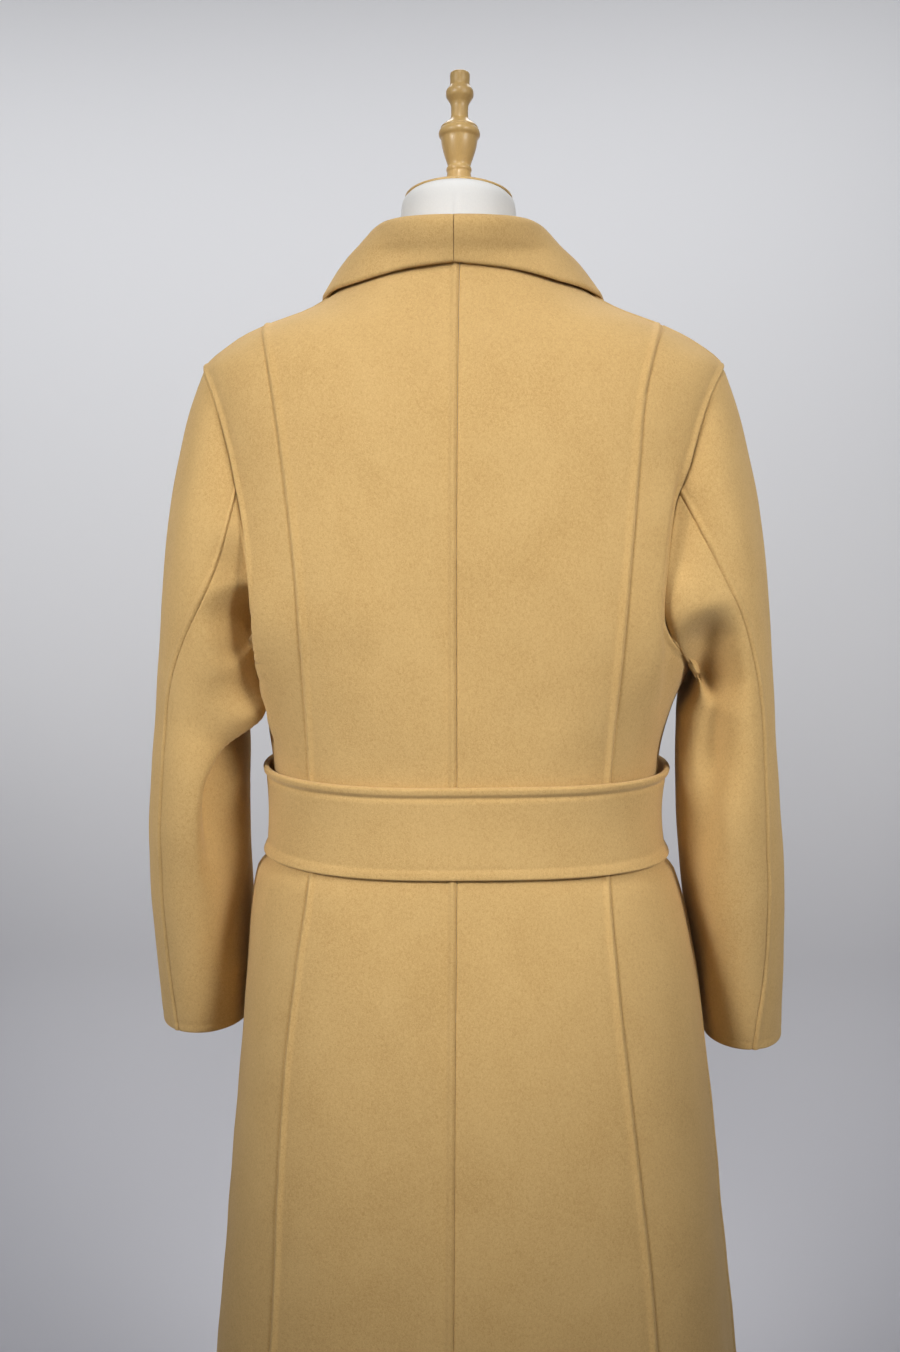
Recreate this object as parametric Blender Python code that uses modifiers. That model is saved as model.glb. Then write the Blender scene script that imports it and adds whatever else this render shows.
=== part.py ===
"""Long wool wrap coat with a tie belt, worn by a limbless dress form on a round base.

Metres, +Z up. The wearer faces +Y, so the back of the coat faces -Y and its right side is +X.
Angles run round the body from the centre back, positive towards the right side.
"""
import math

import bmesh
import bpy
from mathutils import Matrix, Vector

# Cloth
WALL = 0.0025
SEAM_GAP = 0.0003
NECK_LEVEL = 1.420
SHOULDER_PRINCESS_LEVEL = 1.368
SHOULDER_TIP_LEVEL = 1.333
UNDERARM_LEVEL = 1.094
SIDE_DEG = 90.0
WRAP_LIFT = 0.0042
WRAP_LIFT_FROM_DEG = 115.0
WRAP_LIFT_TO_DEG = 150.0
WRAP_EDGE_DEG = 205.0
WRAP_EDGE_FADE_DEG = 225.0

# The coat's outer outline at each level: half widths, depths behind and before the side seams,
# and how square the ring is (2 is an ellipse).
BODY_RINGS = (
    # level, left, right, back, front, square
    (1.460, 0.066, 0.060, 0.0780, 0.055, 2.0),
    (1.440, 0.069, 0.063, 0.0770, 0.058, 2.0),
    (1.420, 0.075, 0.069, 0.0765, 0.062, 2.0),
    (1.400, 0.100, 0.096, 0.0840, 0.068, 2.1),
    (1.382, 0.128, 0.128, 0.0920, 0.078, 2.2),
    (1.368, 0.165, 0.165, 0.0985, 0.086, 2.3),
    (1.354, 0.192, 0.192, 0.1040, 0.094, 2.4),
    (1.333, 0.2165, 0.2165, 0.1110, 0.105, 2.5),
    (1.290, 0.215, 0.215, 0.1220, 0.122, 2.6),
    (1.240, 0.210, 0.210, 0.1290, 0.136, 2.6),
    (1.185, 0.206, 0.207, 0.1330, 0.146, 2.6),
    (1.130, 0.201, 0.203, 0.1330, 0.149, 2.6),
    (1.094, 0.190, 0.196, 0.1310, 0.146, 2.5),
    (1.050, 0.172, 0.178, 0.1280, 0.138, 2.4),
    (1.010, 0.163, 0.1675, 0.1250, 0.129, 2.3),
    (0.960, 0.161, 0.165, 0.1235, 0.126, 2.2),
    (0.926, 0.1625, 0.1665, 0.1245, 0.127, 2.2),
    (0.905, 0.1770, 0.1820, 0.1285, 0.132, 2.3),
    (0.825, 0.187, 0.2015, 0.1440, 0.147, 2.4),
    (0.720, 0.196, 0.215, 0.1610, 0.162, 2.4),
    (0.540, 0.214, 0.2365, 0.1860, 0.185, 2.4),
    (0.270, 0.236, 0.264, 0.2160, 0.212, 2.3),
)

# Soft folds of the skirt, growing from the belt down to the hem.
SKIRT_FOLDS = (
    # degrees, half_width_deg, height at the hem
    (58.0, 13.0, 0.010),
    (-60.0, 12.0, 0.008),
    (78.0, 9.0, -0.008),
    (-79.0, 9.0, -0.007),
    (128.0, 14.0, 0.009),
    (-126.0, 14.0, 0.009),
)
FOLD_TOP_LEVEL = 0.900
HEM_LEVEL = 0.270

# Distance of the princess seams from the centre back.
PRINCESS = (
    # level, left, right
    (1.368, 0.1650, 0.1650),
    (1.340, 0.1555, 0.1555),
    (1.306, 0.1485, 0.1480),
    (1.243, 0.1390, 0.1430),
    (1.150, 0.1290, 0.1360),
    (1.004, 0.1240, 0.1250),
    (0.919, 0.1235, 0.1245),
    (0.841, 0.1340, 0.1310),
    (0.753, 0.1430, 0.1410),
    (0.559, 0.1515, 0.1615),
    (0.270, 0.1660, 0.1800),
)

# Armhole edges, as distances from the middle of the coat.
ARMHOLE = (
    # level, back, front
    (1.333, 0.2165, 0.2165),
    (1.310, 0.2030, 0.2010),
    (1.282, 0.1930, 0.1880),
    (1.242, 0.1830, 0.1760),
    (1.194, 0.1735, 0.1660),
    (1.145, 0.1685, 0.1620),
    (1.120, 0.1740, 0.1690),
    (1.104, 0.1840, 0.1820),
    (1.094, 0.1900, 0.1900),
)

# Neckline and front edge of a front, as an angle round from the centre back.
FRONT_EDGE = (
    # level, degrees
    (1.420, 93.0),
    (1.410, 108.0),
    (1.395, 125.0),
    (1.360, 141.0),
    (1.270, 153.0),
    (1.160, 164.0),
    (1.060, 178.0),
    (1.000, 190.0),
    (0.920, 200.0),
    (0.270, 205.0),
)

# Levels of the rows of points down every panel.
PANEL_LEVELS = (
    1.420, 1.410, 1.400, 1.390, 1.380, 1.372, 1.368, 1.3674, 1.364, 1.356, 1.345, 1.333,
    1.310, 1.282, 1.242, 1.194, 1.145, 1.120, 1.104, 1.094, 1.070, 1.040, 1.005, 0.975,
    0.950, 0.926, 0.908, 0.885, 0.850, 0.800, 0.730, 0.630, 0.500, 0.380, 0.270,
)
BACK_COLUMNS = 6
SIDE_BACK_COLUMNS = 4
FRONT_COLUMNS = 9

# Sleeve tubes below the armhole.
SLEEVE_RINGS = (
    # level, inner_left, outer_left, inner_right, outer_right, middle_y, half_depth, hind_seam_deg
    (1.040, 0.182, 0.2650, 0.1830, 0.2670, 0.002, 0.075, 36.0),
    (0.960, 0.187, 0.2725, 0.1845, 0.2735, 0.006, 0.071, 29.0),
    (0.880, 0.187, 0.2750, 0.1920, 0.2800, 0.016, 0.065, 30.0),
    (0.815, 0.1905, 0.2740, 0.2035, 0.2830, 0.029, 0.061, 45.0),
    (0.748, 0.1975, 0.2705, 0.2150, 0.2835, 0.042, 0.057, 66.0),
)
SLEEVE_TOP_LEVEL = 1.040
CUFF_LEVEL_LEFT = 0.757
CUFF_LEVEL_RIGHT = 0.748
FRONT_ARM_SEAM_DEG = 255.0
HIND_SEAM_ARMHOLE_LEVEL = 1.242
FRONT_SEAM_ARMHOLE_LEVEL = 1.194
UNDERARM_EASE = 0.0036
HEAD_ACROSS = 0.40
HEAD_ACROSS_MIDWAY = 0.22
HEAD_BACKWARD = 0.40
HEAD_FORWARD = 0.15
HEAD_DOWN = 0.92
HEAD_DOWN_MIDWAY = 0.25
SLEEVE_HEAD_ROWS = 6
SLEEVE_TUBE_ROWS = 7

# Shawl collar, by the distance along the neck seam from the centre back.
COLLAR_WALL = 0.0030
COLLAR_SEAM_GAP = 0.0006
COLLAR_ROLL_OUT = 0.0080
COLLAR_EDGE_OUT = 0.0050
COLLAR_BULGE = 0.0020
COLLAR_STATIONS = (
    # distance, roll_deg, roll_level, edge_deg, edge_level
    (0.000, 0.0, 1.4500, 0.0, 1.4105),
    (0.045, 35.0, 1.4495, 34.0, 1.4085),
    (0.085, 65.0, 1.4460, 62.0, 1.4005),
    (0.117, 90.0, 1.4390, 90.0, 1.3930),
    (0.145, 110.0, 1.4280, 109.0, 1.3780),
    (0.176, 128.5, 1.4090, 121.0, 1.3450),
    (0.225, 145.0, 1.3670, 127.0, 1.2900),
    (0.324, 156.5, 1.2740, 136.0, 1.1950),
    (0.438, 168.0, 1.1620, 150.0, 1.1100),
    (0.500, 174.5, 1.1010, 163.0, 1.0680),
    (0.545, 181.0, 1.0600, 174.0, 1.0350),
)
COLLAR_STAND_TURN = (
    # share of the way from the seam to the roll line, share of the roll's thickness
    (0.00, 0.00),
    (0.50, 0.00),
    (0.86, 0.12),
    (1.00, 0.50),
    (0.86, 0.92),
)
COLLAR_FALL_SHARES = (0.30, 0.65, 1.00)
COLLAR_BACK_DEGS = (0.0, 15.0, 30.0, 45.0, 60.0, 75.0, 90.0)
COLLAR_FRONT_LEVELS = (
    1.420, 1.410, 1.400, 1.390, 1.380, 1.364, 1.345, 1.310, 1.282, 1.242, 1.194, 1.145, 1.104, 1.070,
)
COLLAR_LAST_LEVEL_LEFT = 1.104
COLLAR_LAST_LEVEL_RIGHT = 1.070

# Tie belt
BELT_LEVEL = 0.9605
BELT_WIDTH = 0.076
BELT_WALL = 0.0040
BELT_REST = 0.0008
BELT_SIDE_STAND_OFF = 0.0030
BELT_STEPS = 56
BELT_ROW_SHARES = (0.5, 0.17, -0.17, -0.5)
KNOT_DEG = 184.0
KNOT_HALF_WIDTH = 0.032
KNOT_HALF_DEPTH = 0.020
KNOT_HALF_HEIGHT = 0.043
KNOT_SQUARENESS = 0.45
KNOT_SEGMENTS = 20
KNOT_RINGS = 12
TAIL_WALL = 0.0040
TAIL_TOP_LEVEL = 0.948
TAIL_LIE_LEVEL = 0.850
TAIL_TOP_HALF_WIDTH = 0.014
TAIL_HALF_WIDTH = 0.037
TAIL_OUT_AT_BELT = 0.0096
TAIL_OUT_ON_SKIRT = 0.0072
TAIL_ROWS = 10
TAIL_COLUMNS = 4
TAILS = (
    # name, top_deg, end_deg, end_level
    ("belt_tail_right", 176.5, 163.5, 0.515),
    ("belt_tail_left", 190.5, 197.5, 0.545),
)

# Dress form
SEAT = 0.0031
FORM_COLUMNS = 32
FORM_SHOULDER_LEVELS = (1.395, 1.382, 1.370, 1.358)
FORM_RINGS = (
    # level, half_width, back, front, square
    (1.335, 0.1930, 0.0960, 0.090, 2.4),
    (1.310, 0.1900, 0.1030, 0.100, 2.4),
    (1.270, 0.1800, 0.1110, 0.114, 2.4),
    (1.200, 0.1690, 0.1180, 0.128, 2.4),
    (1.130, 0.1630, 0.1170, 0.133, 2.4),
    (1.060, 0.1500, 0.1090, 0.120, 2.3),
    (0.970, 0.1370, 0.1010, 0.104, 2.2),
    (0.900, 0.1520, 0.1080, 0.108, 2.2),
    (0.840, 0.1640, 0.1180, 0.112, 2.3),
    (0.805, 0.1610, 0.1150, 0.108, 2.3),
    (0.800, 0.1560, 0.1100, 0.103, 2.3),
)
NECK_RINGS = (
    # level, radius, middle_y
    (1.4710, 0.0475, 0.006),
    (1.4570, 0.0476, 0.003),
    (1.4380, 0.0490, 0.000),
    (1.4150, 0.0570, -0.002),
    (1.4030, 0.0720, -0.003),
)
NECK_TILT_DEG = 13.0
NECK_TILT_FROM_LEVEL = 1.415
CAP_RADIUS = 0.0475
NECK_MIDDLE_X = -0.004
CAP_RIM_HEIGHT = 0.0030
CAP_DOME_HEIGHT = 0.0095
CAP_SEAT_RADIUS = 0.0110
CAP_STEPS = 6
FINIAL_HEIGHT = 0.1000
FINIAL_PROFILE = (
    # share of the height, radius
    (1.000, 0.0045),
    (0.985, 0.0078),
    (0.955, 0.0087),
    (0.870, 0.0085),
    (0.830, 0.0108),
    (0.785, 0.0120),
    (0.740, 0.0117),
    (0.705, 0.0098),
    (0.680, 0.0078),
    (0.540, 0.0079),
    (0.520, 0.0086),
    (0.485, 0.0124),
    (0.455, 0.0162),
    (0.430, 0.0178),
    (0.412, 0.0178),
    (0.402, 0.0170),
    (0.390, 0.0173),
    (0.340, 0.0168),
    (0.240, 0.0142),
    (0.110, 0.0098),
    (0.095, 0.0096),
    (0.080, 0.0106),
    (0.060, 0.0106),
    (0.045, 0.0099),
    (0.000, 0.0108),
)
TURN_STEPS = 40
POLE_RADIUS = 0.0160
BASE_RADIUS = 0.190
BASE_HEIGHT = 0.022
BASE_EDGE = 0.004
BASE_EDGE_MIDDLE = 0.3

# Colours as linear red, green and blue
CAMEL = (0.60, 0.38, 0.155)
WOOD = (0.58, 0.37, 0.155)
FORM_WHITE = (0.78, 0.78, 0.77)
STAND_WOOD = (0.46, 0.29, 0.13)


def along(rows, key):
    """The columns of a table at a key, on a smooth curve through its rows."""
    rising = rows[-1][0] > rows[0][0]
    span = [row[0] for row in rows]
    low, high = min(span), max(span)
    key = min(max(key, low), high)
    index = 0
    while index < len(rows) - 2 and (key > span[index + 1] if rising else key < span[index + 1]):
        index += 1
    reach = span[index + 1] - span[index]
    t = (key - span[index]) / reach
    values = []
    for column in range(1, len(rows[0])):
        start, end = rows[index][column], rows[index + 1][column]
        start_slope = table_slope(rows, index, column) * reach
        end_slope = table_slope(rows, index + 1, column) * reach
        values.append(
            (2 * t**3 - 3 * t**2 + 1) * start
            + (t**3 - 2 * t**2 + t) * start_slope
            + (3 * t**2 - 2 * t**3) * end
            + (t**3 - t**2) * end_slope
        )
    return values


def table_slope(rows, index, column):
    """Slope of a table's column at one row, from the rows on either side of it."""
    before, after = rows[max(index - 1, 0)], rows[min(index + 1, len(rows) - 1)]
    return (after[column] - before[column]) / (after[0] - before[0])


def ease(low, high, value):
    """A smooth step from 0 at low to 1 at high."""
    t = min(max((value - low) / (high - low), 0.0), 1.0)
    return t * t * (3 - 2 * t)


def ring_radius(deg, half_width, depth, square):
    """Distance from the middle to a squared oval in a direction."""
    across = abs(math.sin(math.radians(deg))) / half_width
    deep = abs(math.cos(math.radians(deg))) / depth
    return (across**square + deep**square) ** (-1 / square)


def signed_deg(deg):
    """The same direction between -180 and 180 degrees."""
    return (deg + 180.0) % 360.0 - 180.0


def body_surface(deg, level):
    """A point of the coat's outer face."""
    left, right, back, front, square = along(BODY_RINGS, level)
    turn = signed_deg(deg)
    half_width = right if turn >= 0 else left
    depth = back if abs(turn) <= SIDE_DEG else front
    radius = ring_radius(turn, half_width, depth, square)
    growth = ease(FOLD_TOP_LEVEL, HEM_LEVEL, level)
    for fold_deg, width, height in SKIRT_FOLDS:
        apart = signed_deg(turn - fold_deg) / width
        radius += growth * height * math.exp(-apart * apart)
    angle = math.radians(turn)
    return Vector((radius * math.sin(angle), -radius * math.cos(angle), level))


def body_normal(deg, level):
    """Outward direction of the coat's outer face."""
    step_deg, step_level = 0.5, 0.002
    round_way = body_surface(deg + step_deg, level) - body_surface(deg - step_deg, level)
    up_way = body_surface(deg, level + step_level) - body_surface(deg, level - step_level)
    return round_way.cross(up_way).normalized()


def body_point(deg, level, out=0.0):
    """A point moved out from the coat's outer face."""
    return body_surface(deg, level) + body_normal(deg, level) * out


def deg_at(distance, level, side, front=False):
    """Angle where the ring at a level lies this far from the middle of the coat."""
    left, right, back, front_depth, square = along(BODY_RINGS, level)
    half_width = right if side > 0 else left
    depth = front_depth if front else back
    share = min(distance / half_width, 1.0)
    deep = depth * (1 - share**square) ** (1 / square)
    deg = math.degrees(math.atan2(share * half_width, deep))
    return 180.0 - deg if front else deg


def wrap_lift(deg):
    """How far the right front stands out where it lies over the left front."""
    return WRAP_LIFT * ease(WRAP_LIFT_FROM_DEG, WRAP_LIFT_TO_DEG, deg)


def material(name, colour, roughness):
    made = bpy.data.materials.new(name)
    made.use_nodes = True
    shader = made.node_tree.nodes["Principled BSDF"]
    shader.inputs["Base Color"].default_value = (*colour, 1.0)
    shader.inputs["Roughness"].default_value = roughness
    shader.inputs["Metallic"].default_value = 0.0
    return made


def add_object(name, mesh, finish):
    made = bpy.data.objects.new(name, mesh)
    mesh.materials.append(finish)
    mesh.shade_smooth()
    mesh.set_sharp_from_angle(angle=math.radians(50))
    part_collection.objects.link(made)
    made.parent = root
    return made


def grid_faces(rows, columns, first, flip, closed=False):
    """Quads over a grid of points that is stored row by row."""
    faces = []
    for i in range(rows - 1):
        for j in range(columns if closed else columns - 1):
            after = (j + 1) % columns
            quad = (i * columns + j, i * columns + after, (i + 1) * columns + after, (i + 1) * columns + j)
            faces.append(tuple(first + v for v in (reversed(quad) if flip else quad)))
    return faces


def cloth_wall(name, outer, inner, finish, closed=False):
    """A wall of cloth between two grids of points. A closed one is joined round its rows."""
    rows, columns = len(outer), len(outer[0])
    count = rows * columns
    points = [p for row in outer for p in row] + [p for row in inner for p in row]
    faces = grid_faces(rows, columns, 0, False, closed) + grid_faces(rows, columns, count, True, closed)
    rims = [[i * columns + j for j in range(columns)] for i in (0, rows - 1)]
    if not closed:
        rims += [[i * columns + j for i in range(rows)] for j in (0, columns - 1)]
    for rim in rims:
        pairs = list(zip(rim, rim[1:])) + ([(rim[-1], rim[0])] if closed else [])
        faces += [(a, b, b + count, a + count) for a, b in pairs]
    mesh = bpy.data.meshes.new(name)
    mesh.from_pydata(points, [], faces)
    face_out(mesh)
    return add_object(name, mesh, finish)


def face_out(mesh):
    shape = bmesh.new()
    shape.from_mesh(mesh)
    bmesh.ops.recalc_face_normals(shape, faces=shape.faces)
    shape.to_mesh(mesh)
    shape.free()


def open_seam(outer, inner, column, neighbour, gap):
    """Draws one edge column back from its seam, square to the seam and along the cloth."""
    edge = [row[column].copy() for row in outer]
    for i, row in enumerate(outer):
        run = edge[min(i + 1, len(edge) - 1)] - edge[max(i - 1, 0)]
        inward = row[neighbour] - edge[i]
        inward -= run * (inward.dot(run) / run.length_squared)
        shift = inward.normalized() * gap
        row[column] = row[column] + shift
        inner[i][column] = inner[i][column] + shift


def panel(name, levels, near, far, columns, finish, lift=None):
    """A body panel between two angles at each level."""
    outer, inner = [], []
    for level in levels:
        degs = [near(level) + (far(level) - near(level)) * j / columns for j in range(columns + 1)]
        outs = [lift(deg) if lift else 0.0 for deg in degs]
        outer.append([body_point(deg, level, out) for deg, out in zip(degs, outs)])
        inner.append([body_point(deg, level, out - WALL) for deg, out in zip(degs, outs)])
    open_seam(outer, inner, 0, 1, SEAM_GAP / 2)
    open_seam(outer, inner, columns, columns - 1, SEAM_GAP / 2)
    return cloth_wall(name, outer, inner, finish)


def princess_deg(level, side):
    distance = along(PRINCESS, level)[0 if side < 0 else 1]
    return SIDE_DEG if level >= SHOULDER_PRINCESS_LEVEL else deg_at(distance, level, side)


def armhole_deg(level, side, front):
    if level >= SHOULDER_TIP_LEVEL or level <= UNDERARM_LEVEL:
        return SIDE_DEG
    back_edge, front_edge = along(ARMHOLE, level)
    return deg_at(front_edge if front else back_edge, level, side, front)


def body_panels(side, word, finish):
    """Back, side back and front of one half of the coat."""
    panel(f"back_{word}", PANEL_LEVELS, lambda level: 0.0,
          lambda level: side * princess_deg(level, side), BACK_COLUMNS, finish)
    side_levels = [level for level in PANEL_LEVELS if level < SHOULDER_PRINCESS_LEVEL]
    panel(f"side_back_{word}", side_levels, lambda level: side * princess_deg(level, side),
          lambda level: side * armhole_deg(level, side, False), SIDE_BACK_COLUMNS, finish)
    panel(f"front_{word}", PANEL_LEVELS, lambda level: side * armhole_deg(level, side, True),
          lambda level: side * along(FRONT_EDGE, level)[0], FRONT_COLUMNS, finish,
          wrap_lift if side > 0 else None)


def sleeve_tube(level, round_deg, side):
    """A point of a sleeve below the armhole. Angles run from the outer side towards the back."""
    rings = along(SLEEVE_RINGS, level)
    inner, outer = (rings[0], rings[1]) if side < 0 else (rings[2], rings[3])
    middle_y, half_depth = rings[4], rings[5]
    angle = math.radians(round_deg)
    across = (inner + outer) / 2 + (outer - inner) / 2 * math.cos(angle)
    return Vector((side * across, middle_y - half_depth * math.sin(angle), level))


def armhole_points(side):
    """Armhole edge from the shoulder tip round the back, and the panel's normal at each point."""
    levels = [level for level in PANEL_LEVELS if UNDERARM_LEVEL <= level <= SHOULDER_TIP_LEVEL]
    stops = [(level, False) for level in levels] + [(level, True) for level in reversed(levels[1:-1])]
    degs = [side * armhole_deg(level, side, front) for level, front in stops]
    points = [body_surface(deg, level) for deg, (level, front) in zip(degs, stops)]
    normals = [body_normal(deg, level) for deg, (level, front) in zip(degs, stops)]
    return stops, points, normals


def sleeve_round_degs(stops, points, level):
    """Angle of each lengthwise line of the sleeve, spread between its two seams."""
    count = len(points)
    hind_deg = along(SLEEVE_RINGS, level)[6]
    hind = stops.index((HIND_SEAM_ARMHOLE_LEVEL, False))
    fore = stops.index((FRONT_SEAM_ARMHOLE_LEVEL, True))
    degs = [0.0] * count
    for first, last, start, end in (
        (hind, fore, hind_deg, FRONT_ARM_SEAM_DEG),
        (fore, hind + count, FRONT_ARM_SEAM_DEG, hind_deg + 360.0),
    ):
        steps = [(points[k % count] - points[(k - 1) % count]).length for k in range(first + 1, last + 1)]
        run = 0.0
        for k in range(first, last):
            degs[k % count] = start + (end - start) * run / sum(steps)
            run += steps[k - first]
    return degs


def sleeve_head_way(k, count, side):
    """Direction in which the sleeve leaves the armhole: k counts from the shoulder tip."""
    turn = 2 * math.pi * k / count
    midway = math.sin(turn) ** 2
    across = HEAD_ACROSS + HEAD_ACROSS_MIDWAY * midway
    down = HEAD_DOWN - HEAD_DOWN_MIDWAY * midway
    swell = HEAD_BACKWARD if math.sin(turn) > 0 else HEAD_FORWARD
    return Vector((side * across, -swell * math.sin(turn), -down)).normalized()


def sleeve_grid(side):
    """Outer and inner points of a whole sleeve: rows from the armhole to the cuff."""
    stops, edge, edge_normals = armhole_points(side)
    count = len(edge)
    cuff = CUFF_LEVEL_LEFT if side < 0 else CUFF_LEVEL_RIGHT
    top_degs = sleeve_round_degs(stops, edge, SLEEVE_TOP_LEVEL)
    ways = [sleeve_head_way(k, count, side) for k in range(count)]
    middle = sum(edge, Vector()) / count
    beyond = []
    for k in range(count):
        run = edge[(k + 1) % count] - edge[k - 1]
        into = middle - edge[k]
        into -= edge_normals[k] * into.dot(edge_normals[k])
        into -= run * (into.dot(run) / run.length_squared)
        beyond.append(into.normalized())
    start = []
    for k in range(count):
        away = beyond[k] + (edge_normals[k] if ways[k].dot(edge_normals[k]) > 0 else Vector())
        doubled_back = max(0.0, -ways[k].dot(beyond[k]))
        start.append(edge[k] + away.normalized() * (SEAM_GAP + UNDERARM_EASE * doubled_back))
    grid = []
    for row in range(SLEEVE_HEAD_ROWS):
        t = row / SLEEVE_HEAD_ROWS
        line = []
        for k in range(count):
            end = sleeve_tube(SLEEVE_TOP_LEVEL, top_degs[k], side)
            span = (end - start[k]).length
            fall = (sleeve_tube(SLEEVE_TOP_LEVEL - 0.01, top_degs[k], side) - end).normalized()
            line.append(
                start[k] * (2 * t**3 - 3 * t**2 + 1)
                + ways[k] * span * (t**3 - 2 * t**2 + t)
                + end * (3 * t**2 - 2 * t**3)
                + fall * span * (t**3 - t**2)
            )
        grid.append(line)
    for row in range(SLEEVE_TUBE_ROWS + 1):
        level = SLEEVE_TOP_LEVEL + (cuff - SLEEVE_TOP_LEVEL) * row / SLEEVE_TUBE_ROWS
        degs = sleeve_round_degs(stops, edge, level)
        grid.append([sleeve_tube(level, deg, side) for deg in degs])
    normals = grid_normals(grid, side)
    for k in range(count):
        if ways[k].dot(edge_normals[k]) < 0:
            inside = edge[k] - edge_normals[k] * WALL + beyond[k] * SEAM_GAP
            grid[0][k] = inside + normals[0][k] * WALL
    inner = [[p - n * WALL for p, n in zip(line, turns)] for line, turns in zip(grid, normals)]
    return stops, grid, inner


def grid_normals(grid, side):
    """Outward direction at each point of a tube's grid."""
    rows, count = len(grid), len(grid[0])
    normals = []
    for i in range(rows):
        line = []
        for k in range(count):
            down = grid[min(i + 1, rows - 1)][k] - grid[max(i - 1, 0)][k]
            round_way = grid[i][(k + 1) % count] - grid[i][k - 1]
            line.append((down.cross(round_way) * -side).normalized())
        normals.append(line)
    return normals


def sleeve(side, word, finish):
    """Upper and under sleeve, joined along the hind-arm seam and the front seam."""
    stops, outer, inner = sleeve_grid(side)
    count = len(stops)
    hind = stops.index((HIND_SEAM_ARMHOLE_LEVEL, False))
    fore = stops.index((FRONT_SEAM_ARMHOLE_LEVEL, True))
    for name, first, last in (
        (f"under_sleeve_{word}", hind, fore),
        (f"upper_sleeve_{word}", fore, hind + count),
    ):
        picked = [k % count for k in range(first, last + 1)]
        piece_outer = [[row[k] for k in picked] for row in outer]
        piece_inner = [[row[k] for k in picked] for row in inner]
        open_seam(piece_outer, piece_inner, 0, 1, SEAM_GAP / 2)
        open_seam(piece_outer, piece_inner, -1, -2, SEAM_GAP / 2)
        cloth_wall(name, piece_outer, piece_inner, finish)


def collar(side, word, finish):
    """Half of the shawl collar: up from the neck seam, over the roll line and down to its edge."""
    last_level = COLLAR_LAST_LEVEL_LEFT if side < 0 else COLLAR_LAST_LEVEL_RIGHT
    seam = [(deg, NECK_LEVEL) for deg in COLLAR_BACK_DEGS]
    seam += [(along(FRONT_EDGE, level)[0], level) for level in COLLAR_FRONT_LEVELS if level >= last_level]
    distance = 0.0
    middle = []
    before = None
    for seam_deg, seam_level in seam:
        at_seam = body_surface(side * seam_deg, seam_level)
        distance += (at_seam - before).length if before else 0.0
        before = at_seam
        roll_deg, roll_level, edge_deg, edge_level = along(COLLAR_STATIONS, distance)
        middle.append(collar_section(side, seam_deg, seam_level, roll_deg, roll_level, edge_deg, edge_level))
    normals = sheet_normals(middle)
    outer = [[p + n * COLLAR_WALL / 2 for p, n in zip(a, b)] for a, b in zip(middle, normals)]
    inner = [[p - n * COLLAR_WALL / 2 for p, n in zip(a, b)] for a, b in zip(middle, normals)]
    for grid in (outer, inner):
        for point in grid[0]:
            point.x = side * SEAM_GAP / 2
    cloth_wall(f"shawl_collar_{word}", outer, inner, finish)


def collar_section(side, seam_deg, seam_level, roll_deg, roll_level, edge_deg, edge_level):
    """Points across the collar, from the neck seam to the outer edge."""
    points = []
    for share, out_share in COLLAR_STAND_TURN:
        deg = seam_deg + (roll_deg - seam_deg) * share
        level = seam_level + (roll_level - seam_level) * share
        lift = wrap_lift(deg) if side > 0 else 0.0
        points.append(body_point(side * deg, level, lift + COLLAR_ROLL_OUT * out_share))
    from_deg, from_level = deg, level
    for share in COLLAR_FALL_SHARES:
        deg = from_deg + (edge_deg - from_deg) * share
        level = from_level + (edge_level - from_level) * share
        out = COLLAR_ROLL_OUT + (COLLAR_EDGE_OUT - COLLAR_ROLL_OUT) * share
        out += COLLAR_BULGE * 4 * share * (1 - share)
        lift = wrap_lift(deg) if side > 0 else 0.0
        points.append(body_point(side * deg, level, lift + out))
    clear = (points[1] - points[0]).normalized() * COLLAR_SEAM_GAP
    points[0] = points[0] + clear
    return points


def sheet_normals(grid):
    """Direction square to an open sheet at each of its points."""
    rows, columns = len(grid), len(grid[0])
    normals = []
    for i in range(rows):
        line = []
        for j in range(columns):
            down = grid[min(i + 1, rows - 1)][j] - grid[max(i - 1, 0)][j]
            across = grid[i][min(j + 1, columns - 1)] - grid[i][max(j - 1, 0)]
            line.append(down.cross(across).normalized())
        normals.append(line)
    return normals


def belt_out(deg):
    """How far the belt's inner face lies from the coat: on it at the back, off it at the sides."""
    turn = deg % 360.0
    lift = wrap_lift(turn) * (1 - ease(WRAP_EDGE_DEG, WRAP_EDGE_FADE_DEG, turn))
    aside = abs(math.sin(math.radians(deg))) ** 3
    return lift + BELT_REST + BELT_SIDE_STAND_OFF * aside


def belt(finish):
    """Closed band round the waist, upright, made from the waist ring moved out."""
    outer, inner = [], []
    for share in BELT_ROW_SHARES:
        outer_row, inner_row = [], []
        for step in range(BELT_STEPS):
            deg = 360.0 * step / BELT_STEPS
            foot = body_surface(deg, BELT_LEVEL)
            away = body_normal(deg, BELT_LEVEL)
            away = Vector((away.x, away.y, 0.0)).normalized()
            swell = max(body_reach(deg, BELT_LEVEL + share * BELT_WIDTH), body_reach(deg, BELT_LEVEL))
            foot = foot + away * (swell - body_reach(deg, BELT_LEVEL) + belt_out(deg))
            foot.z = BELT_LEVEL + share * BELT_WIDTH
            inner_row.append(foot)
            outer_row.append(foot + away * BELT_WALL)
        outer.append(outer_row)
        inner.append(inner_row)
    cloth_wall("belt_band", outer, inner, finish, closed=True)


def body_reach(deg, level):
    """Distance of the coat's outer face from its upright axis."""
    point = body_surface(deg, level)
    return math.hypot(point.x, point.y)


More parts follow.
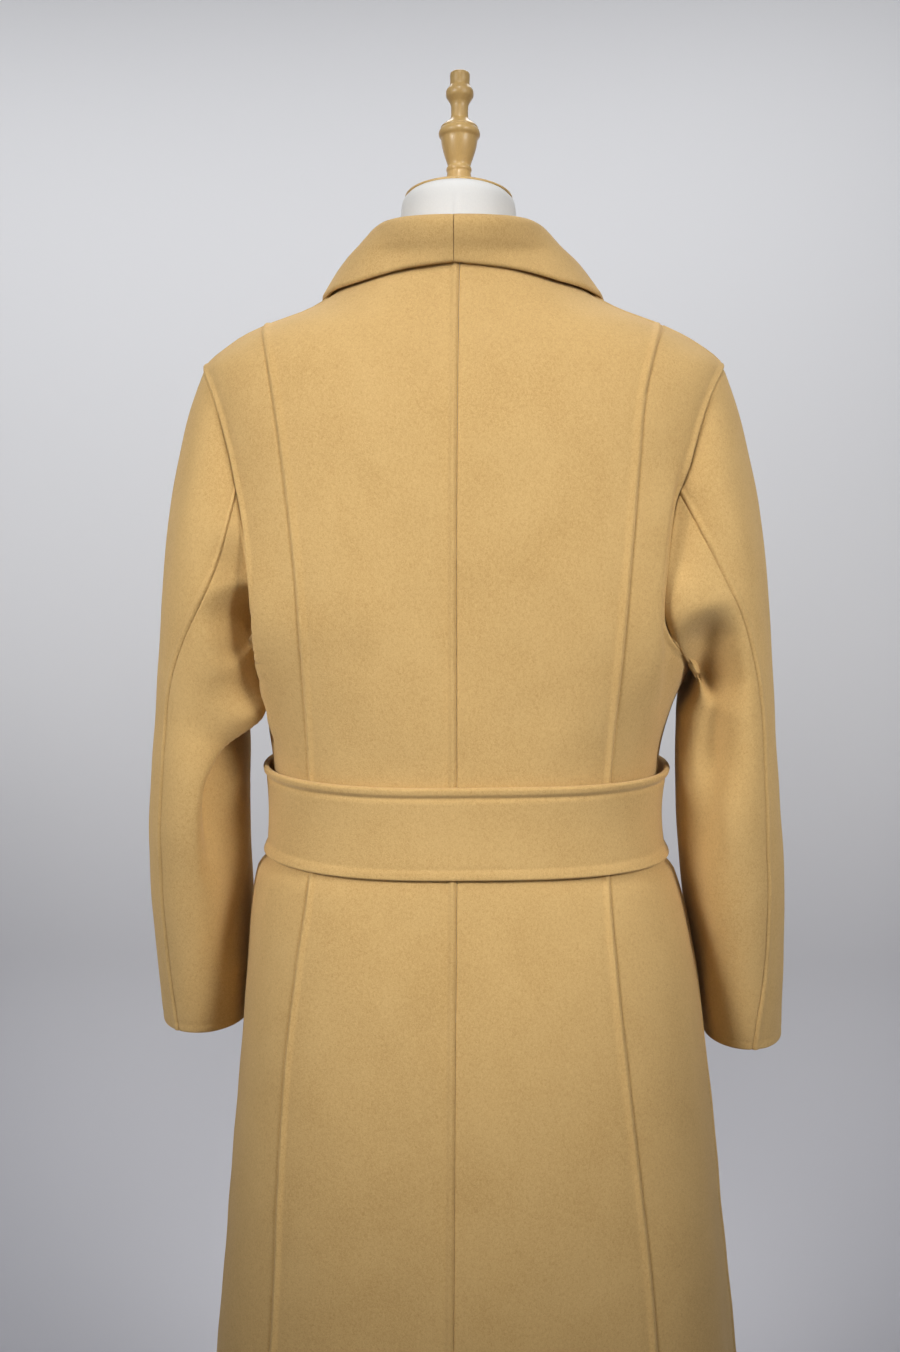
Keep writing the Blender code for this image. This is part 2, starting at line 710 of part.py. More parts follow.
def belt_tails(finish):
    """Hanging ends of the belt: made from the front's points, moved out."""
    for name, top_deg, end_deg, end_level in TAILS:
        outer, inner = [], []
        for i in range(TAIL_ROWS + 1):
            level = TAIL_TOP_LEVEL + (end_level - TAIL_TOP_LEVEL) * i / TAIL_ROWS
            down = ease(TAIL_TOP_LEVEL, TAIL_LIE_LEVEL, level)
            out = TAIL_OUT_AT_BELT + (TAIL_OUT_ON_SKIRT - TAIL_OUT_AT_BELT) * down
            half = TAIL_TOP_HALF_WIDTH + (TAIL_HALF_WIDTH - TAIL_TOP_HALF_WIDTH) * down
            middle_deg = top_deg + (end_deg - top_deg) * down
            half_deg = math.degrees(half / body_reach(middle_deg, level))
            degs = [middle_deg + half_deg * (2 * j / TAIL_COLUMNS - 1) for j in range(TAIL_COLUMNS + 1)]
            inner.append([body_point(deg, level, out) for deg in degs])
            outer.append([body_point(deg, level, out + TAIL_WALL) for deg in degs])
        cloth_wall(name, outer, inner, finish)


def belt_knot(finish):
    """Soft knot that holds the two ends against the front of the belt."""
    mesh = bpy.data.meshes.new("belt_knot")
    shape = bmesh.new()
    bmesh.ops.create_uvsphere(shape, u_segments=KNOT_SEGMENTS, v_segments=KNOT_RINGS, radius=1.0)
    for vert in shape.verts:
        fullness = 1 / max(abs(c) for c in vert.co)
        vert.co *= 1 + KNOT_SQUARENESS * (fullness - 1)
    for vert in shape.verts:
        vert.co.x *= KNOT_HALF_WIDTH
        vert.co.y *= KNOT_HALF_DEPTH
        vert.co.z *= KNOT_HALF_HEIGHT
    shape.to_mesh(mesh)
    shape.free()
    knot = add_object("belt_knot", mesh, finish)
    front = body_point(KNOT_DEG, BELT_LEVEL, TAIL_OUT_AT_BELT + TAIL_WALL)
    knot.location = (front.x, front.y + KNOT_HALF_DEPTH, BELT_LEVEL)


def lofted_solid(name, rings, finish):
    """A closed solid through rings of points, with flat ends."""
    columns = len(rings[0])
    points = [p for ring in rings for p in ring]
    faces = grid_faces(len(rings), columns, 0, False, closed=True)
    faces.append(tuple(range(columns)))
    faces.append(tuple(range(len(points) - columns, len(points))))
    mesh = bpy.data.meshes.new(name)
    mesh.from_pydata(points, [], faces)
    face_out(mesh)
    return add_object(name, mesh, finish)


def form_torso(finish):
    """Limbless torso from the neck to the hips: its shoulders carry the coat."""
    degs = [360.0 * k / FORM_COLUMNS for k in range(FORM_COLUMNS)]
    rings = []
    tilt = math.tan(math.radians(NECK_TILT_DEG))
    for level, radius, middle_y in NECK_RINGS:
        lean = ease(NECK_TILT_FROM_LEVEL, NECK_RINGS[0][0], level)
        ring = []
        for deg in degs:
            x, y = radius * math.sin(math.radians(deg)), -radius * math.cos(math.radians(deg))
            ring.append(Vector((NECK_MIDDLE_X + x, middle_y + y, level - lean * tilt * y)))
        rings.append(ring)
    for level in FORM_SHOULDER_LEVELS:
        rings.append([body_point(deg, level, -WALL - SEAT) for deg in degs])
    for level, half_width, back, front, square in FORM_RINGS:
        ring = []
        for deg in degs:
            depth = back if abs(signed_deg(deg)) <= SIDE_DEG else front
            reach = ring_radius(deg, half_width, depth, square)
            angle = math.radians(deg)
            ring.append(Vector((reach * math.sin(angle), -reach * math.cos(angle), level)))
        rings.append(ring)
    lofted_solid("form_torso", rings, finish)


def turned(name, profile, finish):
    """A turned solid: profile points are heights and radii from top to bottom."""
    outline = [(0.0, profile[0][0])] + [(radius, height) for height, radius in profile] + [(0.0, profile[-1][0])]
    mesh = bpy.data.meshes.new(name)
    mesh.from_pydata([(x, 0.0, z) for x, z in outline], [(i, i + 1) for i in range(len(outline) - 1)], [])
    made = add_object(name, mesh, finish)
    screw = made.modifiers.new("turn", "SCREW")
    screw.axis = "Z"
    screw.angle = 2 * math.pi
    screw.steps = TURN_STEPS
    screw.render_steps = TURN_STEPS
    screw.use_merge_vertices = True
    screw.merge_threshold = 0.0001
    return made


def neck_top(finish):
    """Wooden cap and finial, square to the sloping top of the neck."""
    level, middle_y = NECK_RINGS[0][0], NECK_RINGS[0][2]
    tilt = Matrix.Rotation(-math.radians(NECK_TILT_DEG), 4, "X")
    seat = Vector((NECK_MIDDLE_X, middle_y, level))
    dome = []
    for step in range(CAP_STEPS + 1):
        share = step / CAP_STEPS
        out = CAP_SEAT_RADIUS + (CAP_RADIUS - CAP_SEAT_RADIUS) * share
        dome.append((CAP_RIM_HEIGHT + CAP_DOME_HEIGHT * (1 - share**2), out))
    cap = turned("neck_cap", dome + [(0.0, CAP_RADIUS)], finish)
    cap.matrix_world = Matrix.Translation(seat) @ tilt @ Matrix.Translation((0, 0, SEAM_GAP))
    finial = turned("finial", [(FINIAL_HEIGHT * share, out) for share, out in FINIAL_PROFILE], finish)
    lift = CAP_RIM_HEIGHT + CAP_DOME_HEIGHT + 2 * SEAM_GAP
    finial.matrix_world = Matrix.Translation(seat) @ tilt @ Matrix.Translation((0, 0, lift))


def stand(finish):
    """Upright pole under the torso and the round base it stands in."""
    top = FORM_RINGS[-1][0] - SEAM_GAP
    bottom = BASE_HEIGHT + SEAM_GAP
    turned("pole", ((top, POLE_RADIUS), (bottom, POLE_RADIUS)), finish)
    turned("base", (
        (BASE_HEIGHT, BASE_RADIUS - BASE_EDGE),
        (BASE_HEIGHT - BASE_EDGE * BASE_EDGE_MIDDLE, BASE_RADIUS - BASE_EDGE * BASE_EDGE_MIDDLE),
        (BASE_HEIGHT - BASE_EDGE, BASE_RADIUS),
        (0.0, BASE_RADIUS),
    ), finish)


for old in list(bpy.data.objects):
    bpy.data.objects.remove(old, do_unlink=True)

part_collection = bpy.data.collections.new("long_coat")
bpy.context.scene.collection.children.link(part_collection)
root = bpy.data.objects.new("long_coat_origin", None)
part_collection.objects.link(root)

wool = material("camel_wool", CAMEL, 0.9)
form_cloth = material("form_cloth", FORM_WHITE, 0.75)
turned_wood = material("turned_wood", WOOD, 0.5)
stand_wood = material("stand_wood", STAND_WOOD, 0.5)

for side_sign, side_word in ((-1, "left"), (1, "right")):
    body_panels(side_sign, side_word, wool)
    sleeve(side_sign, side_word, wool)
    collar(side_sign, side_word, wool)
belt(wool)
belt_tails(wool)
belt_knot(wool)
form_torso(form_cloth)
neck_top(turned_wood)
stand(stand_wood)
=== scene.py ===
import math

import bmesh
import bpy
import numpy as np
from mathutils import Matrix, Vector


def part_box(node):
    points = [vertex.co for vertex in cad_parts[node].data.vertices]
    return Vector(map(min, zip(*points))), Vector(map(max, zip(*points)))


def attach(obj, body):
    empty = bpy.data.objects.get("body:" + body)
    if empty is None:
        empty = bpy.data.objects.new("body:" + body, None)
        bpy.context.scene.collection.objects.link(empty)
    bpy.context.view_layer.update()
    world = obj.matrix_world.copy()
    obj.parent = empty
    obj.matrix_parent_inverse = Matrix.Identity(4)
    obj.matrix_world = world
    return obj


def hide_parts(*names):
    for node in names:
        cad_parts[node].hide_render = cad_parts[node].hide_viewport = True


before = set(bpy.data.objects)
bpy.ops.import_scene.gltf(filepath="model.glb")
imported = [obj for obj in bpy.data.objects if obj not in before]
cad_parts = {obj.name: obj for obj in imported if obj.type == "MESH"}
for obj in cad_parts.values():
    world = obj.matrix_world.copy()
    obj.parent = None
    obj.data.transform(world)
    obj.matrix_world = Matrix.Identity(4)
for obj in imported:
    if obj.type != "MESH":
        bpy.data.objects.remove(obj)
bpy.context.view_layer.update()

# Camera: a normal lens at chest height behind the coat, a little to its right.
# It looks slightly down and is turned a little to the left.
CAMERA_TURN = math.radians(2.5)
CAMERA_PITCH = math.radians(7.46)
CAMERA_DISTANCE = 1.60
CAMERA_ASIDE = -0.011
CAMERA_HEIGHT = 1.2819
LENS_MM = 50.0
SENSOR_MM = 36.0

camera_data = bpy.data.cameras.new("camera")
camera_data.lens = LENS_MM
camera_data.sensor_width = SENSOR_MM
camera = bpy.data.objects.new("camera", camera_data)
bpy.context.scene.collection.objects.link(camera)
camera_right = Vector((math.cos(CAMERA_TURN), math.sin(CAMERA_TURN), 0.0))
camera_ahead = Vector((-math.sin(CAMERA_TURN), math.cos(CAMERA_TURN), 0.0))
camera.location = camera_right * CAMERA_ASIDE - camera_ahead * CAMERA_DISTANCE
camera.location.z = CAMERA_HEIGHT
camera.rotation_euler = (math.pi / 2 - CAMERA_PITCH, 0.0, CAMERA_TURN)
bpy.context.scene.camera = camera


# Stand: a straight beech pole and a thick round beech base with a rounded edge, in satin lacquer.
# The pole is dowelled into the base and carries the form from below.
STAND_LIGHT = (0.50, 0.315, 0.140, 1.0)
STAND_DARK = (0.38, 0.225, 0.090, 1.0)
STAND_ROUGHNESS = 0.42
BASE_EDGE_RADIUS = 0.006
POLE_EDGE_RADIUS = 0.001
EDGE_STEPS = 8
TURN_STEPS = 96
TURN_MERGE_REACH = 0.00001
UPRIGHT = (0.0, 0.0, 0.0)
LYING = (0.0, math.pi / 2, 0.0)


def turned(name, profile, finish):
    """A turned piece: a profile of heights and radii from top to bottom, spun round the upright axis."""
    outline = [(0.0, profile[0][0])] + [(radius, height) for height, radius in profile]
    outline.append((0.0, profile[-1][0]))
    mesh = bpy.data.meshes.new(name)
    mesh.from_pydata([(x, 0.0, z) for x, z in outline], [(i, i + 1) for i in range(len(outline) - 1)], [])
    made = bpy.data.objects.new(name, mesh)
    bpy.context.scene.collection.objects.link(made)
    screw = made.modifiers.new("turn", "SCREW")
    screw.angle = 2 * math.pi
    screw.steps = TURN_STEPS
    screw.render_steps = TURN_STEPS
    screw.use_merge_vertices = True
    screw.merge_threshold = TURN_MERGE_REACH
    screw.use_smooth_shade = True
    mesh.materials.append(finish)
    return made


def rounded_cylinder(top, bottom, radius, edge):
    """Profile of a cylinder whose top edge is rounded."""
    profile = []
    for step in range(EDGE_STEPS + 1):
        angle = math.pi / 2 * step / EDGE_STEPS
        profile.append((top - edge * (1 - math.cos(angle)), radius - edge * (1 - math.sin(angle))))
    return profile + [(bottom + edge / 4, radius), (bottom, radius - edge / 4)]


def add_nodes(tree, **kinds):
    """New nodes of a tree by plain names."""
    made = {}
    for name, kind in kinds.items():
        made[name] = tree.nodes.new(kind)
    return made


def set_inputs(node, **values):
    """Sets a node's inputs to constants, with a low line for each space in an input's name."""
    for name, value in values.items():
        node.inputs[name.replace("_", " ")].default_value = value


def wire(tree, n, *runs):
    """Joins nodes: each run names a node and its output, then a node and its input."""
    for source, output, target, entry in runs:
        tree.links.new(n[source].outputs[output], n[target].inputs[entry])


def new_finish(name, **kinds):
    """A new material and its nodes by plain names, with its shader and its output among them."""
    made = bpy.data.materials.new(name)
    made.use_nodes = True
    n = add_nodes(made.node_tree, **kinds)
    n["shader"] = made.node_tree.nodes["Principled BSDF"]
    n["surface"] = made.node_tree.nodes["Material Output"]
    return made, n


def beech_grain_group():
    """Beech: long soft streaks along the grain and the short dark flecks that tell it from other woods."""
    group = bpy.data.node_groups.new("beech_grain", "ShaderNodeTree")
    for name, way, kind in (
        ("Place", "INPUT", "Vector"), ("Light", "INPUT", "Color"), ("Dark", "INPUT", "Color"),
        ("Color", "OUTPUT", "Color"), ("Height", "OUTPUT", "Float"),
    ):
        group.interface.new_socket(name, in_out=way, socket_type=f"NodeSocket{kind}")
    n = add_nodes(
        group, source="NodeGroupInput", result="NodeGroupOutput", long_way="ShaderNodeMapping",
        short_way="ShaderNodeMapping", streaks="ShaderNodeTexNoise", flecks="ShaderNodeTexNoise",
        fleck_cut="ShaderNodeMapRange", tone="ShaderNodeMix", fleck_tone="ShaderNodeMix",
    )
    for mix in (n["tone"], n["fleck_tone"]):
        mix.data_type = "RGBA"
    set_inputs(n["long_way"], Scale=(140.0, 140.0, 7.0))
    set_inputs(n["short_way"], Scale=(900.0, 900.0, 90.0))
    set_inputs(n["streaks"], Scale=1.0, Detail=5.0, Distortion=0.6)
    set_inputs(n["flecks"], Scale=1.0, Detail=1.0)
    set_inputs(n["fleck_cut"], From_Min=0.58, From_Max=0.70, To_Max=0.55)
    wire(
        group, n,
        ("source", "Place", "long_way", "Vector"),
        ("source", "Place", "short_way", "Vector"),
        ("long_way", "Vector", "streaks", "Vector"),
        ("short_way", "Vector", "flecks", "Vector"),
        ("flecks", "Fac", "fleck_cut", "Value"),
        ("streaks", "Fac", "tone", "Factor"),
        ("source", "Dark", "tone", "A"),
        ("source", "Light", "tone", "B"),
        ("fleck_cut", "Result", "fleck_tone", "Factor"),
        ("tone", "Result", "fleck_tone", "A"),
        ("source", "Dark", "fleck_tone", "B"),
        ("fleck_tone", "Result", "result", "Color"),
        ("streaks", "Fac", "result", "Height"),
    )
    return group


def beech(name, light, dark, roughness, turn, fineness):
    """Lacquered beech whose grain runs along the local upright axis after a turn."""
    made, n = new_finish(
        name, place="ShaderNodeTexCoord", turn="ShaderNodeMapping", grain="ShaderNodeGroup",
        bump="ShaderNodeBump",
    )
    n["grain"].node_tree = beech_grain
    set_inputs(n["turn"], Rotation=turn, Scale=(fineness, fineness, fineness))
    set_inputs(n["grain"], Light=light, Dark=dark)
    set_inputs(n["bump"], Strength=0.12, Distance=0.0004)
    set_inputs(n["shader"], Roughness=roughness, Coat_Weight=0.35, Coat_Roughness=0.25)
    wire(
        made.node_tree, n,
        ("place", "Object", "turn", "Vector"),
        ("turn", "Vector", "grain", "Place"),
        ("grain", "Color", "shader", "Base Color"),
        ("grain", "Height", "bump", "Height"),
        ("bump", "Normal", "shader", "Normal"),
    )
    return made


def place_piece(piece, node):
    """Rides a piece on the part's one body in place of a solid, and hides that solid."""
    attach(piece, "root")
    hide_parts(node)


beech_grain = beech_grain_group()
pole_wood = beech("pole_beech", STAND_LIGHT, STAND_DARK, STAND_ROUGHNESS, UPRIGHT, 1.0)
base_wood = beech("base_beech", STAND_LIGHT, STAND_DARK, STAND_ROUGHNESS, LYING, 1.0)
for node, finish, edge in (("pole", pole_wood, POLE_EDGE_RADIUS), ("base", base_wood, BASE_EDGE_RADIUS)):
    low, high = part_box(node)
    radius = (high.x - low.x) / 2
    stand_piece = turned(f"{node}_beech", rounded_cylinder(high.z, low.z, radius, edge), finish)
    place_piece(stand_piece, node)


# Dress form: a limbless torso of firm moulded foam under tight white jersey, seamed down its middle
# behind and in front. The coat hangs from its shoulders, which are the coat's own shoulders moved in,
# and clears it elsewhere.
BODY_RINGS = (
    # level, left, right, back, front, square
    (1.460, 0.066, 0.060, 0.0780, 0.055, 2.0),
    (1.440, 0.069, 0.063, 0.0770, 0.058, 2.0),
    (1.420, 0.075, 0.069, 0.0765, 0.062, 2.0),
    (1.400, 0.100, 0.096, 0.0840, 0.068, 2.1),
    (1.382, 0.128, 0.128, 0.0920, 0.078, 2.2),
    (1.368, 0.165, 0.165, 0.0985, 0.086, 2.3),
    (1.354, 0.192, 0.192, 0.1040, 0.094, 2.4),
    (1.333, 0.2165, 0.2165, 0.1110, 0.105, 2.5),
    (1.290, 0.215, 0.215, 0.1220, 0.122, 2.6),
    (1.240, 0.210, 0.210, 0.1290, 0.136, 2.6),
    (1.185, 0.206, 0.207, 0.1330, 0.146, 2.6),
    (1.130, 0.201, 0.203, 0.1330, 0.149, 2.6),
    (1.094, 0.190, 0.196, 0.1310, 0.146, 2.5),
    (1.050, 0.172, 0.178, 0.1280, 0.138, 2.4),
    (1.010, 0.163, 0.1675, 0.1250, 0.129, 2.3),
    (0.960, 0.161, 0.165, 0.1235, 0.126, 2.2),
    (0.926, 0.1625, 0.1665, 0.1245, 0.127, 2.2),
    (0.905, 0.1770, 0.1820, 0.1285, 0.132, 2.3),
    (0.825, 0.187, 0.2015, 0.1440, 0.147, 2.4),
    (0.720, 0.196, 0.215, 0.1610, 0.162, 2.4),
    (0.540, 0.214, 0.2365, 0.1860, 0.185, 2.4),
    (0.270, 0.236, 0.264, 0.2160, 0.212, 2.3),
)
SKIRT_FOLDS = (
    # degrees, half_width_deg, height at the hem
    (58.0, 13.0, 0.010),
    (-60.0, 12.0, 0.008),
    (78.0, 9.0, -0.008),
    (-79.0, 9.0, -0.007),
    (128.0, 14.0, 0.009),
    (-126.0, 14.0, 0.009),
)
FOLD_TOP_LEVEL = 0.900
HEM_LEVEL = 0.270
SIDE_DEG = 90.0
NECK_RINGS = (
    # level, radius, middle_y
    (1.4710, 0.0440, 0.006),
    (1.4700, 0.0456, 0.006),
    (1.4675, 0.0469, 0.005),
    (1.4630, 0.0477, 0.004),
    (1.4560, 0.0479, 0.003),
    (1.4380, 0.0490, 0.000),
    (1.4150, 0.0570, -0.002),
    (1.4030, 0.0720, -0.003),
)
NECK_MIDDLE_X = -0.004
NECK_TILT = math.radians(17.0)
NECK_TILT_FROM_LEVEL = 1.415
FORM_SHOULDER_LEVELS = (1.395, 1.382, 1.370, 1.358)
FORM_BELOW_COAT = 0.0056
FORM_RINGS = (
    # level, half_width, back, front, square
    (1.335, 0.1930, 0.0960, 0.090, 2.4),
    (1.310, 0.1900, 0.1030, 0.100, 2.4),
    (1.270, 0.1800, 0.1110, 0.114, 2.4),
    (1.200, 0.1690, 0.1180, 0.128, 2.4),
    (1.130, 0.1630, 0.1170, 0.133, 2.4),
    (1.060, 0.1500, 0.1090, 0.120, 2.3),
    (0.970, 0.1370, 0.1010, 0.104, 2.2),
    (0.900, 0.1520, 0.1080, 0.108, 2.2),
    (0.840, 0.1640, 0.1180, 0.112, 2.3),
    (0.805, 0.1610, 0.1150, 0.108, 2.3),
    (0.800, 0.1560, 0.1100, 0.103, 2.3),
)
FORM_COLUMNS = 144
FORM_ROWS = 170
FORM_SEAM_DEPTH = 0.0006
FORM_SEAM_HALF_WIDTH = 0.0014
FORM_SHARP_DEG = 50.0
JERSEY_WHITE = (0.80, 0.80, 0.79, 1.0)
JERSEY_SHADE = (0.73, 0.73, 0.725, 1.0)


def along(rows, keys):
    """The columns of a table at each key, on a smooth curve through its rows."""
    table = np.array(sorted(map(tuple, rows)))
    at = table[:, 0]
    slopes = np.empty_like(table)
    slopes[1:-1] = (table[2:] - table[:-2]) / (at[2:] - at[:-2])[:, None]
    slopes[0] = (table[1] - table[0]) / (at[1] - at[0])
    slopes[-1] = (table[-1] - table[-2]) / (at[-1] - at[-2])
    keys = np.clip(np.asarray(keys, dtype=float), at[0], at[-1])
    index = np.clip(np.searchsorted(at, keys, side="right") - 1, 0, len(at) - 2)
    reach = (at[index + 1] - at[index])[..., None]
    t = (keys - at[index])[..., None] / reach
    found = (
        (2 * t**3 - 3 * t**2 + 1) * table[index]
        + (t**3 - 2 * t**2 + t) * slopes[index] * reach
        + (3 * t**2 - 2 * t**3) * table[index + 1]
        + (t**3 - t**2) * slopes[index + 1] * reach
    )
    return np.moveaxis(found, -1, 0)[1:]


def ease(low, high, value):
    """A smooth step from 0 at low to 1 at high."""
    t = np.clip((np.asarray(value) - low) / (high - low), 0.0, 1.0)
    return t * t * (3 - 2 * t)


def ring_reach(deg, half_width, depth, square):
    """Distance from the middle to a squared oval in a direction."""
    across = np.abs(np.sin(np.radians(deg))) / half_width
    deep = np.abs(np.cos(np.radians(deg))) / depth
    return (across**square + deep**square) ** (-1 / square)


def signed_deg(deg):
    """The same direction between -180 and 180 degrees."""
    return (deg + 180.0) % 360.0 - 180.0


def body_surface(deg, level):
    """Points of the coat's outer face: angles run from the centre back towards the right side."""
    deg, level = np.broadcast_arrays(np.asarray(deg, dtype=float), np.asarray(level, dtype=float))
    left, right, back, front, square = along(BODY_RINGS, level)
    turn = signed_deg(deg)
    half_width = np.where(turn >= 0, right, left)
    depth = np.where(np.abs(turn) <= SIDE_DEG, back, front)
    reach = ring_reach(turn, half_width, depth, square)
    growth = ease(FOLD_TOP_LEVEL, HEM_LEVEL, level)
    for fold_deg, width, height in SKIRT_FOLDS:
        reach = reach + growth * height * np.exp(-((signed_deg(turn - fold_deg) / width) ** 2))
    angle = np.radians(turn)
    return np.stack((reach * np.sin(angle), -reach * np.cos(angle), level), axis=-1)


def unit(vectors):
    """Vectors of length 1."""
    return vectors / np.maximum(np.linalg.norm(vectors, axis=-1, keepdims=True), 1e-12)


def body_normal(deg, level):
    """Outward directions of the coat's outer face."""
    step_deg, step_level = 0.5, 0.002
    round_way = body_surface(deg + step_deg, level) - body_surface(deg - step_deg, level)
    up_way = body_surface(deg, level + step_level) - body_surface(deg, level - step_level)
    return unit(np.cross(round_way, up_way))


def refined(grid, rows):
    """More rows of points through a grid's rows, on smooth curves."""
    steps = np.linalg.norm(np.diff(grid, axis=0), axis=-1).mean(axis=1)
    run = np.concatenate(((0.0,), np.cumsum(steps)))
    table = np.concatenate((run[:, None], grid.reshape(len(grid), -1)), axis=1)
    fine = along(table, np.linspace(0.0, run[-1], rows))
    return fine.T.reshape((rows,) + grid.shape[1:])


def quads_of(index):
    """Corner numbers of the quads of a grid of point numbers."""
    corners = (index[:-1, :-1], index[:-1, 1:], index[1:, 1:], index[1:, :-1])
    return np.stack(corners, axis=-1).reshape(-1, 4)


def add_mesh(name, points, faces, finish, sharp_deg):
    """A smooth-shaded object with its faces turned outwards."""
    mesh = bpy.data.meshes.new(name)
    mesh.from_pydata(points.tolist(), [], faces)
    shape = bmesh.new()
    shape.from_mesh(mesh)
    bmesh.ops.recalc_face_normals(shape, faces=shape.faces)
    shape.to_mesh(mesh)
    shape.free()
    mesh.shade_smooth()
    mesh.set_sharp_from_angle(angle=math.radians(sharp_deg))
    mesh.materials.append(finish)
    made = bpy.data.objects.new(name, mesh)
    bpy.context.scene.collection.objects.link(made)
    return made


def ringed_solid(name, grid, finish, sharp_deg):
    """A smooth solid of closed rings, with its first and last ring filled in."""
    index = np.arange(grid.shape[0] * grid.shape[1]).reshape(grid.shape[:2])
    faces = quads_of(np.concatenate((index, index[:, :1]), axis=1)).tolist()
    faces += [index[0].tolist(), index[-1].tolist()]
    return add_mesh(name, grid.reshape(-1, 3), faces, finish, sharp_deg)


def form_rings(degs):
    """Rings of the form from the top of the neck to the hips."""
    angle = np.radians(degs)
    rings = []
    for level, radius, middle_y in NECK_RINGS:
        lean = ease(NECK_TILT_FROM_LEVEL, NECK_RINGS[0][0], level)
        x = NECK_MIDDLE_X + radius * np.sin(angle)
        y = -radius * np.cos(angle)
        rings.append(np.stack((x, middle_y + y, level - lean * math.tan(NECK_TILT) * y), axis=-1))
    for level in FORM_SHOULDER_LEVELS:
        rings.append(body_surface(degs, level) - body_normal(degs, level) * FORM_BELOW_COAT)
    for level, half_width, back, front, square in FORM_RINGS:
        depth = np.where(np.abs(signed_deg(degs)) <= SIDE_DEG, back, front)
        reach = ring_reach(degs, half_width, depth, square)
        height = np.full_like(reach, level)
        rings.append(np.stack((reach * np.sin(angle), -reach * np.cos(angle), height), axis=-1))
    return np.array(rings)


def jersey():
    """Tight white jersey: fine upright ribs of stitches, hardly shaded."""
    made, n = new_finish(
        "white_jersey", place="ShaderNodeTexCoord", stretch="ShaderNodeMapping",
        stitches="ShaderNodeTexNoise", tone="ShaderNodeMix", bump="ShaderNodeBump",
    )
    n["tone"].data_type = "RGBA"
    set_inputs(n["stretch"], Scale=(1600.0, 1600.0, 500.0))
    set_inputs(n["stitches"], Scale=1.0, Detail=2.0)
    set_inputs(n["tone"], A=JERSEY_SHADE, B=JERSEY_WHITE)
    set_inputs(n["bump"], Strength=0.2, Distance=0.0003)
    set_inputs(n["shader"], Roughness=0.7, Sheen_Weight=0.1)
    wire(
        made.node_tree, n,
        ("place", "Object", "stretch", "Vector"),
        ("stretch", "Vector", "stitches", "Vector"),
        ("stitches", "Fac", "tone", "Factor"),
        ("tone", "Result", "shader", "Base Color"),
        ("stitches", "Fac", "bump", "Height"),
        ("bump", "Normal", "shader", "Normal"),
    )
    return made


form_degs = np.arange(FORM_COLUMNS) * 360.0 / FORM_COLUMNS
form_grid = refined(form_rings(form_degs), FORM_ROWS)
seam_pull = FORM_SEAM_DEPTH * np.exp(-((form_grid[..., 0] - NECK_MIDDLE_X) / FORM_SEAM_HALF_WIDTH) ** 2)
form_grid[..., 1] -= seam_pull * np.sign(form_grid[..., 1])
form = ringed_solid("form_torso_jersey", form_grid, jersey(), FORM_SHARP_DEG)
place_piece(form, "form_torso")


# Neck cap and finial: a thin domed beech disc and a turned beech finial, in honey-coloured satin lacquer.
# The cap closes the sloping top of the neck, and the finial is screwed into its middle.
HONEY_LIGHT = (0.740, 0.510, 0.205, 1.0)
HONEY_DARK = (0.560, 0.345, 0.115, 1.0)
HONEY_ROUGHNESS = 0.36
HONEY_FINENESS = 2.6
TURNED_GAP = 0.0003
CAP_RADIUS = 0.0450
CAP_RIM_HEIGHT = 0.0018
CAP_DOME_HEIGHT = 0.0095
CAP_SEAT_RADIUS = 0.0110
CAP_STEPS = 40
FINIAL_TILT = math.radians(13.0)
FINIAL_HEIGHT = 0.1000
FINIAL_STEPS = 220
FINIAL_LIFT = 0.0014
FINIAL_PROFILE = (
    # share of the height, radius
    (1.000, 0.0030),
    (0.994, 0.0062),
    (0.983, 0.0079),
    (0.965, 0.0084),
    (0.890, 0.0082),
    (0.872, 0.0085),
    (0.853, 0.0098),
    (0.830, 0.0113),
    (0.806, 0.0117),
    (0.775, 0.0112),
    (0.742, 0.0093),
    (0.722, 0.0081),
    (0.690, 0.0073),
    (0.600, 0.0073),
    (0.580, 0.0078),
    (0.562, 0.0098),
    (0.543, 0.0123),
    (0.521, 0.0147),
    (0.507, 0.0157),
    (0.500, 0.0153),
    (0.492, 0.0160),
    (0.474, 0.0170),
    (0.450, 0.0174),
    (0.431, 0.0168),
    (0.416, 0.0157),
    (0.400, 0.0153),
    (0.360, 0.0147),
    (0.320, 0.0138),
    (0.280, 0.0127),
    (0.240, 0.0114),
    (0.205, 0.0102),
    (0.180, 0.0096),
    (0.168, 0.0097),
    (0.157, 0.0105),
    (0.134, 0.0105),
    (0.122, 0.0099),
    (0.090, 0.0102),
    (0.000, 0.0108),
)

honey_wood = beech("honey_beech", HONEY_LIGHT, HONEY_DARK, HONEY_ROUGHNESS, UPRIGHT, HONEY_FINENESS)
cap_profile = []
for share in np.linspace(0.0, 1.0, CAP_STEPS):
    cap_out = CAP_SEAT_RADIUS + (CAP_RADIUS - CAP_SEAT_RADIUS) * share
    cap_profile.append((CAP_RIM_HEIGHT + CAP_DOME_HEIGHT * (1 - share**2), cap_out))
cap_profile.append((0.0, CAP_RADIUS))
neck_seat = Matrix.Translation((NECK_MIDDLE_X, NECK_RINGS[0][2], NECK_RINGS[0][0]))
cap = turned("neck_cap_beech", cap_profile, honey_wood)
cap_seat = Matrix.Translation((0.0, 0.0, TURNED_GAP))
cap.matrix_world = neck_seat @ Matrix.Rotation(-NECK_TILT, 4, "X") @ cap_seat
place_piece(cap, "neck_cap")
finial_shares = np.linspace(1.0, 0.0, FINIAL_STEPS)
finial_profile = list(zip(FINIAL_HEIGHT * finial_shares, along(FINIAL_PROFILE, finial_shares)[0]))
finial = turned("finial_beech", finial_profile, honey_wood)
finial_seat = Matrix.Translation((0.0, 0.0, CAP_RIM_HEIGHT + CAP_DOME_HEIGHT + FINIAL_LIFT))
finial.matrix_world = neck_seat @ Matrix.Rotation(-FINIAL_TILT, 4, "X") @ finial_seat
place_piece(finial, "finial")


